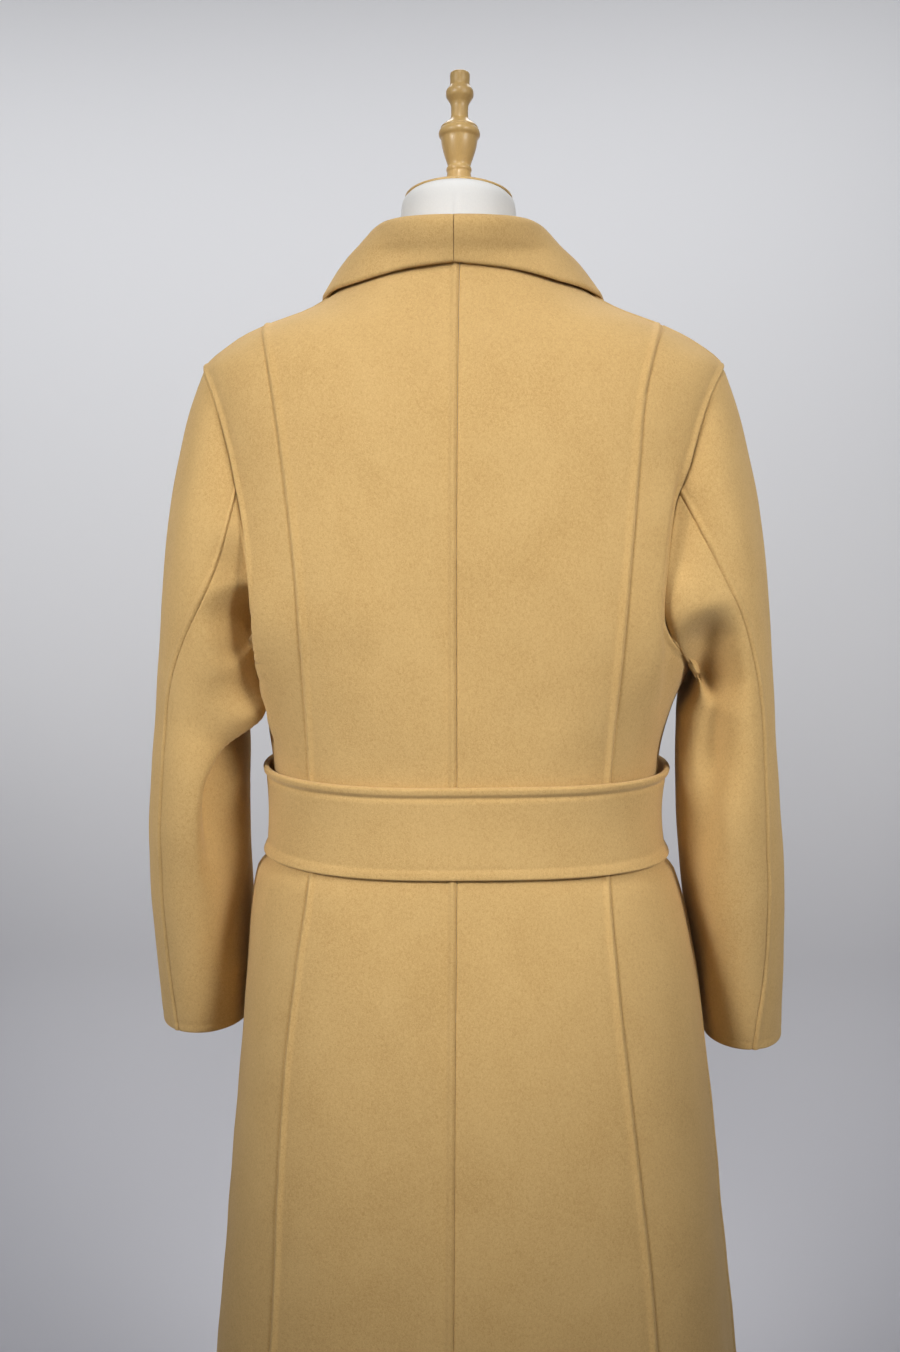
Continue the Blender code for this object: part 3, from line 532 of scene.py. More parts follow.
# Coat body: two backs, two side backs and two wrapping fronts of felted double-face wool 2.5 mm thick.
# The seams are sewn flat by hand, which leaves a fine groove and a low raised band on one side of it.
# The front edges and the hem are free, turned in and slip-stitched, and the neck is sewn to the collar.
WALL = 0.0025
SEAM_GAP = 0.0003
NECK_LEVEL = 1.420
SHOULDER_PRINCESS_LEVEL = 1.368
SHOULDER_TIP_LEVEL = 1.333
UNDERARM_LEVEL = 1.094
WRAP_LIFT = 0.0042
WRAP_LIFT_FROM_DEG = 115.0
WRAP_LIFT_TO_DEG = 150.0
PRINCESS = (
    # level, left, right
    (1.368, 0.1650, 0.1650),
    (1.340, 0.1555, 0.1555),
    (1.306, 0.1485, 0.1480),
    (1.243, 0.1390, 0.1430),
    (1.150, 0.1290, 0.1360),
    (1.004, 0.1240, 0.1250),
    (0.919, 0.1235, 0.1245),
    (0.841, 0.1340, 0.1310),
    (0.753, 0.1430, 0.1410),
    (0.559, 0.1515, 0.1615),
    (0.270, 0.1660, 0.1800),
)
ARMHOLE = (
    # level, back, front
    (1.333, 0.2165, 0.2165),
    (1.310, 0.2030, 0.2010),
    (1.282, 0.1930, 0.1880),
    (1.242, 0.1830, 0.1760),
    (1.194, 0.1735, 0.1660),
    (1.145, 0.1685, 0.1620),
    (1.120, 0.1740, 0.1690),
    (1.104, 0.1840, 0.1820),
)
FRONT_EDGE = (
    # level, degrees
    (1.420, 93.0),
    (1.410, 108.0),
    (1.395, 125.0),
    (1.360, 141.0),
    (1.270, 153.0),
    (1.160, 164.0),
    (1.060, 178.0),
    (1.000, 190.0),
    (0.920, 200.0),
    (0.270, 205.0),
)
SEAM_OFFSETS = (
    0.0, 0.0003, 0.0007, 0.0011, 0.0016, 0.0022, 0.0029,
    0.0037, 0.0046, 0.0056, 0.0068, 0.0083, 0.0102, 0.0130,
)
SEAM_ZONE_SHARE = 1 / 3
EDGE_OFFSETS = (0.0, 0.0002, 0.0005, 0.0009, 0.0014, 0.0020, 0.0030, 0.0045, 0.0060, 0.0075, 0.0090, 0.0110)
LEVEL_STEP = 0.0045
KEY_LEVELS = (SHOULDER_PRINCESS_LEVEL, SHOULDER_TIP_LEVEL, UNDERARM_LEVEL)
KEY_LEVEL_OFFSETS = (-0.0025, -0.0012, -0.0005, -0.0001, 0.0001, 0.0005, 0.0012, 0.0025)
BACK_COLUMNS = 30
SIDE_BACK_COLUMNS = 14
SIDE_BACK_TIP_DROP = 0.0006
FRONT_COLUMNS = 52
COLUMN_PROBES = 121
SIDE_SEAM_BAND_FADE = 0.02
GROOVE_DEPTH, GROOVE_HALF_WIDTH = 0.0007, 0.0012
BAND_HEIGHT, BAND_MIDDLE, BAND_HALF_WIDTH = 0.0018, 0.0036, 0.0026
DIP_DEPTH, DIP_MIDDLE, DIP_HALF_WIDTH = 0.0006, 0.0078, 0.0026
STITCH_DEPTH, STITCH_FROM_EDGE, STITCH_HALF_WIDTH = 0.0005, 0.0082, 0.0014
EDGE_ROUND = 0.0022
EDGE_CLOSING = 0.96
CLOTH_SHARP_DEG = 65.0
CREASE_FADE = 0.35
CREASE_LINE_STEPS = 4
BODY_CREASES = (
    # height, half_width, points
    (0.0016, 0.030, (-0.075, -0.120, 1.190), (-0.060, -0.124, 1.090), (-0.055, -0.121, 1.010)),
    (-0.0014, 0.026, (0.060, -0.121, 1.180), (0.066, -0.123, 1.080), (0.060, -0.119, 1.010)),
    (0.0030, 0.016, (0.090, 0.110, 1.075), (0.070, 0.117, 1.040), (0.052, 0.119, 1.005)),
    (-0.0028, 0.013, (0.112, 0.100, 1.085), (0.096, 0.105, 1.045), (0.082, 0.108, 1.005)),
    (0.0026, 0.015, (-0.100, 0.105, 1.080), (-0.082, 0.111, 1.040), (-0.066, 0.114, 1.005)),
    (-0.0024, 0.012, (-0.124, 0.092, 1.075), (-0.112, 0.095, 1.035), (-0.100, 0.098, 1.005)),
    (0.0035, 0.018, (0.130, 0.095, 1.260), (0.120, 0.122, 1.180), (0.105, 0.127, 1.110)),
    (0.0030, 0.017, (-0.130, 0.094, 1.250), (-0.122, 0.120, 1.175), (-0.108, 0.125, 1.110)),
    (
        0.0040, 0.022,
        (0.050, 0.124, 0.900), (0.075, 0.143, 0.760), (0.088, 0.170, 0.560), (0.095, 0.196, 0.300),
    ),
    (
        -0.0040, 0.020,
        (0.105, 0.108, 0.895), (0.130, 0.125, 0.740), (0.145, 0.148, 0.560), (0.160, 0.170, 0.320),
    ),
    (
        0.0038, 0.022,
        (-0.060, 0.122, 0.900), (-0.075, 0.143, 0.750), (-0.082, 0.172, 0.540), (-0.085, 0.198, 0.300),
    ),
    (
        -0.0038, 0.019,
        (-0.110, 0.104, 0.895), (-0.128, 0.122, 0.750), (-0.142, 0.145, 0.560), (-0.150, 0.170, 0.320),
    ),
    (
        -0.0018, 0.030,
        (-0.050, -0.128, 0.880), (-0.060, -0.158, 0.720), (-0.066, -0.183, 0.520), (-0.070, -0.208, 0.300),
    ),
    (
        0.0020, 0.032,
        (0.040, -0.130, 0.880), (0.052, -0.160, 0.700), (0.064, -0.185, 0.500), (0.070, -0.210, 0.300),
    ),
)
BODY_FOLDS = (
    # lip, lip_width, drop, drop_width, back_width, points
    (
        0.0035, 0.020, 0.0130, 0.0080, 0.060,
        (-0.177, -0.089, 1.235), (-0.1695, -0.093, 1.190), (-0.1645, -0.096, 1.146), (-0.163, -0.082, 1.100),
        (-0.1620, -0.066, 1.060), (-0.160, -0.050, 1.010),
    ),
    (
        0.0030, 0.022, 0.0065, 0.0090, 0.018,
        (0.160, -0.049, 1.013), (0.159, -0.076, 1.0635), (0.159, -0.099, 1.131), (0.162, -0.099, 1.179),
        (0.1665, -0.095, 1.227), (0.172, -0.088, 1.262),
    ),
)
FOLD_REACH = 0.030
FOLD_FULL_DROP = 1.6  # in drop widths from the line
FOLD_FADE_IN, FOLD_FADE_OUT = 0.45, 0.15
SWAY_SHIFT, SWAY_SLANT = 1.3, 1 / 3
SWAY = (
    # height, waves in a metre along x, y and z
    (0.00050, 3.1, 2.3, 4.3),
    (0.00035, 7.9, 5.2, 6.1),
    (0.00022, 12.7, 9.1, 15.3),
)
CAMEL_LIGHT = (0.640, 0.432, 0.182, 1.0)
CAMEL_MIDDLE = (0.570, 0.370, 0.146, 1.0)
CAMEL_DARK = (0.462, 0.284, 0.099, 1.0)
WOOL_SHEEN = (1.0, 0.83, 0.58, 1.0)
BACK_FLAT, BACK_AREA = (0.215, 1.170), 0.184
SIDE_BACK_FLAT, SIDE_BACK_AREA = (0.200, 1.120), 0.146
FRONT_FLAT, FRONT_AREA = (0.500, 1.190), 0.358


def felted_wool():
    """Camel wool felted on both faces: fine flecked fibres lying downwards, faint clouds, a soft bloom."""
    made, n = new_finish(
        "camel_double_face_wool", place="ShaderNodeTexCoord", nap="ShaderNodeMapping",
        fibres="ShaderNodeTexNoise", tufts="ShaderNodeTexNoise", clouds="ShaderNodeTexNoise",
        fibre_share="ShaderNodeMath", fleck="ShaderNodeMath", cloudy="ShaderNodeMath",
        colour="ShaderNodeValToRGB", height="ShaderNodeMath", bump="ShaderNodeBump",
    )
    set_inputs(n["nap"], Scale=(1.0, 1.0, 0.80))
    set_inputs(n["fibres"], Scale=1300.0, Detail=3.0, Roughness=0.6, Distortion=1.6)
    set_inputs(n["tufts"], Scale=560.0, Detail=2.0, Roughness=0.6, Distortion=1.0)
    set_inputs(n["clouds"], Scale=20.0, Detail=3.0, Roughness=0.6, Distortion=0.3)
    for name, operation, share in (
        ("fibre_share", "MULTIPLY", 0.50), ("fleck", "MULTIPLY_ADD", 0.45),
        ("cloudy", "MULTIPLY_ADD", 0.22), ("height", "MULTIPLY_ADD", 0.6),
    ):
        n[name].operation = operation
        n[name].inputs[1].default_value = share
    ramp = n["colour"].color_ramp
    ramp.elements[0].position = 0.40
    ramp.elements[0].color = CAMEL_DARK
    ramp.elements[1].position = 0.76
    ramp.elements[1].color = CAMEL_LIGHT
    middle = ramp.elements.new(0.58)
    middle.color = CAMEL_MIDDLE
    set_inputs(n["bump"], Strength=0.45, Distance=0.0009)
    set_inputs(n["shader"], Roughness=0.92, Specular_IOR_Level=0.18)
    set_inputs(n["shader"], Sheen_Weight=0.30, Sheen_Roughness=0.55, Sheen_Tint=WOOL_SHEEN)
    wire(
        made.node_tree, n,
        ("place", "Object", "nap", "Vector"),
        ("nap", "Vector", "fibres", "Vector"),
        ("nap", "Vector", "tufts", "Vector"),
        ("nap", "Vector", "clouds", "Vector"),
        ("fibres", "Fac", "fibre_share", 0),
        ("tufts", "Fac", "fleck", 0),
        ("fibre_share", "Value", "fleck", 2),
        ("clouds", "Fac", "cloudy", 0),
        ("fleck", "Value", "cloudy", 2),
        ("cloudy", "Value", "colour", "Fac"),
        ("colour", "Color", "shader", "Base Color"),
        ("fibres", "Fac", "height", 0),
        ("tufts", "Fac", "height", 2),
        ("height", "Value", "bump", "Height"),
        ("bump", "Normal", "shader", "Normal"),
    )
    return made


def cloth_shell(name, outer, inner, ring=False):
    """A closed shell of wool between two grids of points, joined round its rows where it is a ring."""
    rows, columns = outer.shape[:2]
    count = rows * columns
    index = np.arange(count).reshape(rows, columns)
    if ring:
        index = np.concatenate((index, index[:, :1]), axis=1)
    faces = [quads_of(index), quads_of(index)[:, ::-1] + count]
    rims = [index[0], index[-1]]
    if not ring:
        rims += [index[:, 0], index[:, -1]]
    faces += [np.stack((rim[:-1], rim[1:], rim[1:] + count, rim[:-1] + count), axis=-1) for rim in rims]
    points = np.concatenate((outer.reshape(-1, 3), inner.reshape(-1, 3)))
    return add_mesh(name, points, np.concatenate(faces).tolist(), wool, CLOTH_SHARP_DEG)


def line_distance(points, line):
    """Distance of each point from a line, its share along it, its offset from it and the line's way."""
    near = np.full(points.shape[:-1], np.inf)
    place = np.zeros(points.shape[:-1])
    offset = np.zeros(points.shape)
    way = np.zeros(points.shape)
    lengths = np.linalg.norm(np.diff(line, axis=0), axis=1)
    before = 0.0
    for start, end, length in zip(line, line[1:], lengths):
        share = np.clip(((points - start) @ (end - start)) / max(length, 1e-9) ** 2, 0.0, 1.0)
        apart = points - start - share[..., None] * (end - start)
        far = np.linalg.norm(apart, axis=-1)
        closer = far < near
        near = np.where(closer, far, near)
        place = np.where(closer, (before + share * length) / lengths.sum(), place)
        offset = np.where(closer[..., None], apart, offset)
        way = np.where(closer[..., None], (end - start) / max(length, 1e-9), way)
        before += length
    return near, place, offset, way


def smooth_line(stops):
    """A line on smooth curves through a few points."""
    return refined(np.array(stops)[:, None, :], CREASE_LINE_STEPS * len(stops))[:, 0]


def crease_rise(points, creases):
    """How far soft creases lift the cloth: they are placed by points on it and fade out at both ends."""
    rise = np.zeros(points.shape[:-1])
    for height, half_width, *stops in creases:
        near, place = line_distance(points, smooth_line(stops))[:2]
        fade = ease(0.0, CREASE_FADE, place) * ease(1.0, 1.0 - CREASE_FADE, place)
        rise += height * np.exp(-((near / half_width) ** 2)) * fade
    return rise


def fold_rise(points, normal, folds):
    """How far drawn folds move the cloth: a round lip along a line, and beyond it, on the right hand
    along the line, a hollow that drops off steeply and comes back softly."""
    rise = np.zeros(points.shape[:-1])
    for lip, lip_width, drop, drop_width, back_width, *stops in folds:
        near, place, offset, way = line_distance(points, smooth_line(stops))
        right = -(offset * unit(np.cross(normal, way))).sum(axis=-1)
        on_cloth = np.exp(-(near**2 - right**2) / FOLD_REACH**2)
        fade = ease(0.0, FOLD_FADE_IN, place) * ease(1.0, 1.0 - FOLD_FADE_OUT, place)
        inside = np.maximum(right, 0.0)
        outside = np.maximum(-right, 0.0)
        ridge = lip * np.exp(-((outside / lip_width) ** 2)) * np.exp(-((inside / drop_width) ** 2))
        bottom = FOLD_FULL_DROP * drop_width
        hollow = drop * ease(0.0, bottom, inside)
        hollow = hollow * np.exp(-((np.maximum(inside - bottom, 0.0) / back_width) ** 2))
        rise += (ridge - hollow) * on_cloth * fade
    return rise


def sway_rise(points):
    """Slight unevenness of hanging wool."""
    rise = np.zeros(points.shape[:-1])
    for height, along_x, along_y, along_z in SWAY:
        phase = 2 * math.pi * (points[..., 0] * along_x + points[..., 1] * along_y)
        up_phase = 2 * math.pi * points[..., 2] * along_z + phase * SWAY_SLANT
        rise += height * np.sin(phase + SWAY_SHIFT * along_y) * np.sin(up_phase)
    return rise


def body_rise(points, normal):
    """How far the cloth of the coat's body moves off its smooth form."""
    return crease_rise(points, BODY_CREASES) + fold_rise(points, normal, BODY_FOLDS) + sway_rise(points)


def seam_relief(distance, band):
    """Groove of a sewn seam, and its raised band where this piece carries it."""
    relief = -GROOVE_DEPTH * np.exp(-((distance / GROOVE_HALF_WIDTH) ** 2))
    raised = BAND_HEIGHT * np.exp(-(((distance - BAND_MIDDLE) / BAND_HALF_WIDTH) ** 2))
    dip = DIP_DEPTH * np.exp(-(((distance - DIP_MIDDLE) / DIP_HALF_WIDTH) ** 2))
    return relief + band * (raised - dip)


def stitch_relief(distance):
    """Line where a turned-in edge is slip-stitched."""
    return -STITCH_DEPTH * np.exp(-(((distance - STITCH_FROM_EDGE) / STITCH_HALF_WIDTH) ** 2))


def edge_draw(distance, wall, radius=EDGE_ROUND):
    """How far both faces draw together to round a free edge."""
    share = np.clip(distance / radius, 0.0, 1.0)
    return wall / 2 * (1 - np.sqrt(1 - (1 - share) ** 2)) * EDGE_CLOSING


def ring_half_width(level, side):
    """Half width of the coat's body on one side."""
    left, right = along(BODY_RINGS, level)[:2]
    return right if side > 0 else left


def deg_at(distance, level, side, front=False):
    """Angles where the rings lie this far from the middle of the coat."""
    back, front_depth, square = along(BODY_RINGS, level)[2:5]
    half_width = ring_half_width(level, side)
    share = np.minimum(distance / half_width, 1.0)
    deep = (front_depth if front else back) * (1 - share**square) ** (1 / square)
    deg = np.degrees(np.arctan2(share * half_width, deep))
    return 180.0 - deg if front else deg


def princess_deg(level, side):
    """Angle of the seam between back and side back, or of the shoulder seam above it."""
    distance = along(PRINCESS, level)[0 if side < 0 else 1]
    return np.where(level >= SHOULDER_PRINCESS_LEVEL, SIDE_DEG, deg_at(distance, level, side))


def armhole_deg(level, side, front):
    """Angle of the armhole's edge, or of the shoulder and side seams above and below it."""
    lowest = float(ring_half_width(UNDERARM_LEVEL, side))
    rows = ARMHOLE + ((UNDERARM_LEVEL, lowest, lowest),)
    distance = along(rows, level)[1 if front else 0]
    outside = (level >= SHOULDER_TIP_LEVEL) | (level <= UNDERARM_LEVEL)
    return np.where(outside, SIDE_DEG, deg_at(distance, level, side, front))


def front_edge_deg(level):
    """Angle of a front's free edge."""
    return along(FRONT_EDGE, level)[0]


def wrap_lift(deg):
    """How far the right front stands out where it lies over the left front."""
    return WRAP_LIFT * ease(WRAP_LIFT_FROM_DEG, WRAP_LIFT_TO_DEG, deg)


def panel_levels(top):
    """Levels of a panel's rows, closer by the hem and where seams meet."""
    levels = set(np.round(np.arange(HEM_LEVEL + EDGE_OFFSETS[-1], top, LEVEL_STEP), 5))
    levels |= {round(HEM_LEVEL + offset, 5) for offset in EDGE_OFFSETS}
    levels |= {round(key + offset, 5) for key in KEY_LEVELS for offset in KEY_LEVEL_OFFSETS}
    levels |= {round(top, 5)}
    return np.array(sorted((level for level in levels if level <= top), reverse=True))


def run_down(grid):
    """Length of cloth from a grid's first row to each of its points."""
    steps = np.linalg.norm(np.diff(grid, axis=0), axis=-1)
    return np.concatenate((np.zeros((1,) + steps.shape[1:]), np.cumsum(steps, axis=0)))


def run_across(grid):
    """Length of cloth from a grid's first column to each of its points."""
    return run_down(grid.swapaxes(0, 1)).swapaxes(0, 1)


def edge_spaced(start, end, offsets, columns):
    """Places from start to end: at these offsets by both ends and even between them."""
    offsets = np.array(offsets)
    between = np.linspace(start + offsets[-1], end - offsets[-1], columns + 2)[1:-1]
    return np.concatenate((start + offsets, between, end - offsets[::-1]))


def levels_down(top, low, rows):
    """Levels from a top down to a free edge, closer by the edge."""
    by_edge = low + np.array(EDGE_OFFSETS)[::-1]
    return np.concatenate((np.linspace(top, by_edge[0], rows + 1)[:-1], by_edge))


def column_degs(levels, near, far, columns):
    """Angles of a panel's columns: close together by its two edges and even between them."""
    rows = []
    for level, start, end in zip(levels, near, far):
        fine = np.linspace(start, end, COLUMN_PROBES)
        run = run_down(body_surface(fine, level))
        by_edge = np.array(SEAM_OFFSETS) * min(1.0, run[-1] * SEAM_ZONE_SHARE / SEAM_OFFSETS[-1])
        rows.append(np.interp(edge_spaced(0.0, run[-1], by_edge, columns), run, fine))
    return np.array(rows)


def body_panel(name, top, near, far, columns, lift, near_band, far_band, far_free):
    """A panel between two edges, with its seams, creases and rounded free edges."""
    levels = panel_levels(top)
    degs = column_degs(levels, near(levels), far(levels), columns)
    rows = levels[:, None] + 0.0 * degs
    normal = body_normal(degs, rows)
    base = body_surface(degs, rows) + normal * lift(degs)[..., None]
    base = base + normal * body_rise(base, normal)[..., None]
    from_near = line_distance(base, base[:, 0])[0]
    from_far = line_distance(base, base[:, -1])[0]
    from_hem = rows - HEM_LEVEL
    relief = seam_relief(from_near, near_band(rows)) + stitch_relief(from_hem)
    draw = edge_draw(from_hem, WALL)
    if far_free:
        relief = relief + stitch_relief(from_far)
        draw = np.maximum(draw, edge_draw(from_far, WALL))
    else:
        relief = relief + seam_relief(from_far, far_band(rows))
    for column, inward in ((0, 1), (-1, -2)):
        base[:, column] += unit(base[:, inward] - base[:, column]) * SEAM_GAP / 2
    outer = base + normal * (relief - draw)[..., None]
    inner = base - normal * (WALL - draw)[..., None]
    return cloth_shell(name, outer, inner)


wool = felted_wool()
flat_lift = np.zeros_like
for side, word in ((-1, "left"), (1, "right")):
    back = body_panel(
        f"back_{word}_wool", NECK_LEVEL, np.zeros_like, lambda level: side * princess_deg(level, side),
        BACK_COLUMNS, flat_lift, lambda rows: 1.0 if side < 0 else 0.0, lambda rows: 1.0, False,
    )
    side_back = body_panel(
        f"side_back_{word}_wool", SHOULDER_PRINCESS_LEVEL - SIDE_BACK_TIP_DROP,
        lambda level: side * princess_deg(level, side), lambda level: side * armhole_deg(level, side, False),
        SIDE_BACK_COLUMNS, flat_lift, lambda rows: 0.0, lambda rows: 1.0, False,
    )
    front = body_panel(
        f"front_{word}_wool", NECK_LEVEL, lambda level: side * armhole_deg(level, side, True),
        lambda level: side * front_edge_deg(level), FRONT_COLUMNS, wrap_lift if side > 0 else flat_lift,
        lambda rows: ease(UNDERARM_LEVEL, UNDERARM_LEVEL + SIDE_SEAM_BAND_FADE, rows), None, True,
    )
    for piece, node, flat, area in (
        (back, f"back_{word}", BACK_FLAT, BACK_AREA),
        (side_back, f"side_back_{word}", SIDE_BACK_FLAT, SIDE_BACK_AREA),
        (front, f"front_{word}", FRONT_FLAT, FRONT_AREA),
    ):
        place_piece(piece, node)


# Sleeves: each is an upper and an under sleeve of the same wool, sewn together behind and before the arm.
# They are set into the armholes and hang empty, bent forward a little, with soft folds under the arm.
SLEEVE_RINGS = (
    # level, inner_left, outer_left, inner_right, outer_right, middle_y, half_depth,
    # hind_seam_deg_left, hind_seam_deg_right
    (1.040, 0.182, 0.2650, 0.1830, 0.2670, 0.002, 0.075, 58.0, 53.0),
    (0.960, 0.187, 0.2725, 0.1845, 0.2735, 0.006, 0.071, 57.0, 54.0),
    (0.880, 0.187, 0.2750, 0.1920, 0.2800, 0.016, 0.065, 56.0, 57.0),
    (0.815, 0.1905, 0.2740, 0.2035, 0.2830, 0.029, 0.061, 58.0, 66.0),
    (0.748, 0.1975, 0.2705, 0.2150, 0.2835, 0.042, 0.057, 66.0, 85.0),
)
SLEEVE_TOP_LEVEL = 1.040
CUFF_LEVELS = {-1: 0.757, 1: 0.748}
FRONT_ARM_SEAM_DEG = 255.0
HIND_SEAM_ARMHOLE_LEVEL = 1.231
HIND_SEAM_DRIFTS = {-1: 0.034, 1: 0.008}
DRIFT_SCALE = 27 / 4  # the full drift is reached a third of the way from the armhole to the tube
FRONT_SEAM_ARMHOLE_LEVEL = 1.194
ARMHOLE_STOPS = (1.333, 1.310, 1.282, 1.242, 1.194, 1.145, 1.120, 1.104, 1.094)
ARMHOLE_PROBES = 400
ARMHOLE_GAP = 0.0001
ARMHOLE_GROOVE_SHARE = 0.5
SLEEVE_BAND_SHARE = 0.5
HEAD_ACROSS, HEAD_ACROSS_MIDWAY = 0.40, 0.22
HEAD_BACKWARD, HEAD_FORWARD = 0.40, 0.15
HEAD_DOWN, HEAD_DOWN_MIDWAY = 0.92, 0.25
SLEEVE_SEAM_OFFSETS = (
    0.0, 0.0005, 0.0011, 0.0018, 0.0026, 0.0035, 0.0046,
    0.0058, 0.0072, 0.0088, 0.0108, 0.0135, 0.0175,
)
UNDER_SLEEVE_COLUMNS = 60
UPPER_SLEEVE_COLUMNS = 50
SLEEVE_HEAD_ROWS = 80
SLEEVE_HEAD_LENGTH = 0.19
SLEEVE_TUBE_STEP = 0.0035
SLEEVE_FALL_PROBE = 0.01
SLEEVE_HELD_WIDTH = 0.007
SLEEVE_CREASES = {
    -1: (
        # height, half_width, points
        (
            0.0240, 0.027, (-0.135, -0.026, 1.112), (-0.155, -0.028, 1.092), (-0.172, -0.036, 1.074),
            (-0.188, -0.048, 1.050), (-0.205, -0.060, 1.018),
        ),
        (
            -0.0090, 0.024, (-0.198, -0.030, 0.985), (-0.200, -0.024, 0.930), (-0.200, -0.014, 0.870),
            (-0.204, 0.000, 0.790),
        ),
        (-0.0040, 0.016, (-0.212, 0.072, 1.020), (-0.232, 0.074, 0.975), (-0.252, 0.062, 0.935)),
        (0.0040, 0.014, (-0.205, 0.070, 0.985), (-0.226, 0.076, 0.945), (-0.248, 0.070, 0.905)),
    ),
    1: (
        (
            -0.0045, 0.011, (0.192, -0.086, 1.245), (0.183, -0.092, 1.205), (0.180, -0.095, 1.175),
            (0.184, -0.095, 1.150),
        ),
        (
            0.0030, 0.014, (0.180, -0.104, 1.176), (0.202, -0.102, 1.160), (0.224, -0.092, 1.134),
            (0.228, -0.085, 1.105), (0.222, -0.080, 1.060),
        ),
        (
            -0.0100, 0.020, (0.192, -0.078, 1.110), (0.198, -0.072, 1.050), (0.198, -0.062, 0.985),
            (0.199, -0.050, 0.900),
        ),
        (
            -0.0065, 0.024, (0.196, -0.040, 1.000), (0.202, -0.026, 0.930), (0.208, -0.012, 0.870),
            (0.216, 0.004, 0.780),
        ),
        (-0.0038, 0.016, (0.215, 0.072, 1.015), (0.236, 0.074, 0.970), (0.256, 0.062, 0.930)),
        (0.0038, 0.014, (0.208, 0.071, 0.978), (0.230, 0.077, 0.938), (0.252, 0.070, 0.898)),
    ),
}
SLEEVE_FOLDS = {
    -1: (
        # lip, lip_width, drop, drop_width, back_width, points
        (
            0.0060, 0.022, 0.0220, 0.0095, 0.040,
            (-0.221, -0.050, 0.880), (-0.222, -0.062, 0.940), (-0.217, -0.068, 0.985),
            (-0.205, -0.064, 1.012), (-0.188, -0.050, 1.034), (-0.172, -0.030, 1.056),
            (-0.158, -0.012, 1.072), (-0.145, 0.006, 1.088),
        ),
    ),
    1: (),
}
SLEEVE_HOLLOWS = {
    # depth, half_width, points
    -1: (
        (
            0.0260, 0.024, (-0.180, -0.094, 1.160), (-0.173, -0.094, 1.132), (-0.168, -0.090, 1.106),
            (-0.166, -0.082, 1.080),
        ),
        (
            0.0120, 0.018, (-0.190, -0.092, 1.205), (-0.180, -0.094, 1.164), (-0.172, -0.092, 1.124),
            (-0.168, -0.085, 1.085),
        ),
    ),
    1: (
        (
            0.0280, 0.022, (0.195, -0.096, 1.144), (0.202, -0.092, 1.116), (0.205, -0.088, 1.086),
            (0.202, -0.080, 1.046),
        ),
        (
            0.0200, 0.026, (0.200, -0.092, 1.128), (0.204, -0.086, 1.080), (0.203, -0.078, 1.025),
            (0.200, -0.068, 0.960),
        ),
    ),
}
UPPER_SLEEVE_FLAT, UPPER_SLEEVE_AREA = (0.190, 0.600), 0.106
UNDER_SLEEVE_FLAT, UNDER_SLEEVE_AREA = (0.200, 0.500), 0.080


def sleeve_tube(level, round_deg, side):
    """Points of a sleeve below the armhole: angles run from the outer side towards the back."""
    ring = along(SLEEVE_RINGS, level)
    inner, outer = ring[0:2] if side < 0 else ring[2:4]
    middle_y, half_depth = ring[4:6]
    angle = np.radians(round_deg)
    across = (inner + outer) / 2 + (outer - inner) / 2 * np.cos(angle)
    level = level + 0.0 * across
    return np.stack((side * across, middle_y - half_depth * np.sin(angle), level), axis=-1)


def armhole_loop(side):
    """Closed armhole edge from the shoulder tip round the back: its points, normals, turns and
    lengths so far, and the lengths at which the hind and front seams meet it."""
    steps = np.linspace(0.0, 1.0, ARMHOLE_PROBES)
    levels = SHOULDER_TIP_LEVEL + (UNDERARM_LEVEL - SHOULDER_TIP_LEVEL) * ease(0.0, 1.0, steps)
    back_degs = side * armhole_deg(levels, side, False)
    front_degs = side * armhole_deg(levels, side, True)
    degs = np.concatenate((back_degs, front_degs[::-1][1:]))
    heights = np.concatenate((levels, levels[::-1][1:]))
    points = body_surface(degs, heights)
    normals = body_normal(degs, heights)
    points = points + normals * body_rise(points, normals)[..., None]
    stop = np.interp(-levels, -np.array(ARMHOLE_STOPS), np.arange(len(ARMHOLE_STOPS)))
    count = 2 * (len(ARMHOLE_STOPS) - 1)
    turn = 2 * math.pi / count * np.concatenate((stop, count - stop[::-1][1:]))
    run = run_down(points)
    hind = np.interp(-HIND_SEAM_ARMHOLE_LEVEL, -levels, run[:len(levels)])
    fore = np.interp(FRONT_SEAM_ARMHOLE_LEVEL, levels[::-1], run[len(levels) - 1:])
    return points, normals, turn, run, hind, fore


def head_way(turn, side):
    """Direction in which the sleeve leaves the armhole."""
    midway = np.sin(turn) ** 2
    across = HEAD_ACROSS + HEAD_ACROSS_MIDWAY * midway
    down = HEAD_DOWN - HEAD_DOWN_MIDWAY * midway
    swell = np.where(np.sin(turn) > 0, HEAD_BACKWARD, HEAD_FORWARD)
    return unit(np.stack((side * across, -swell * np.sin(turn), -down), axis=-1))


def ring_normals(grid):
    """Outward directions of a tube's grid, whose rows are closed rings."""
    down = np.gradient(grid, axis=0)
    round_way = np.roll(grid, -1, axis=1) - np.roll(grid, 1, axis=1)
    normal = unit(np.cross(down, round_way))
    outward = grid - grid.mean(axis=1, keepdims=True)
    return normal * np.sign((normal * outward).sum(axis=-1).mean())


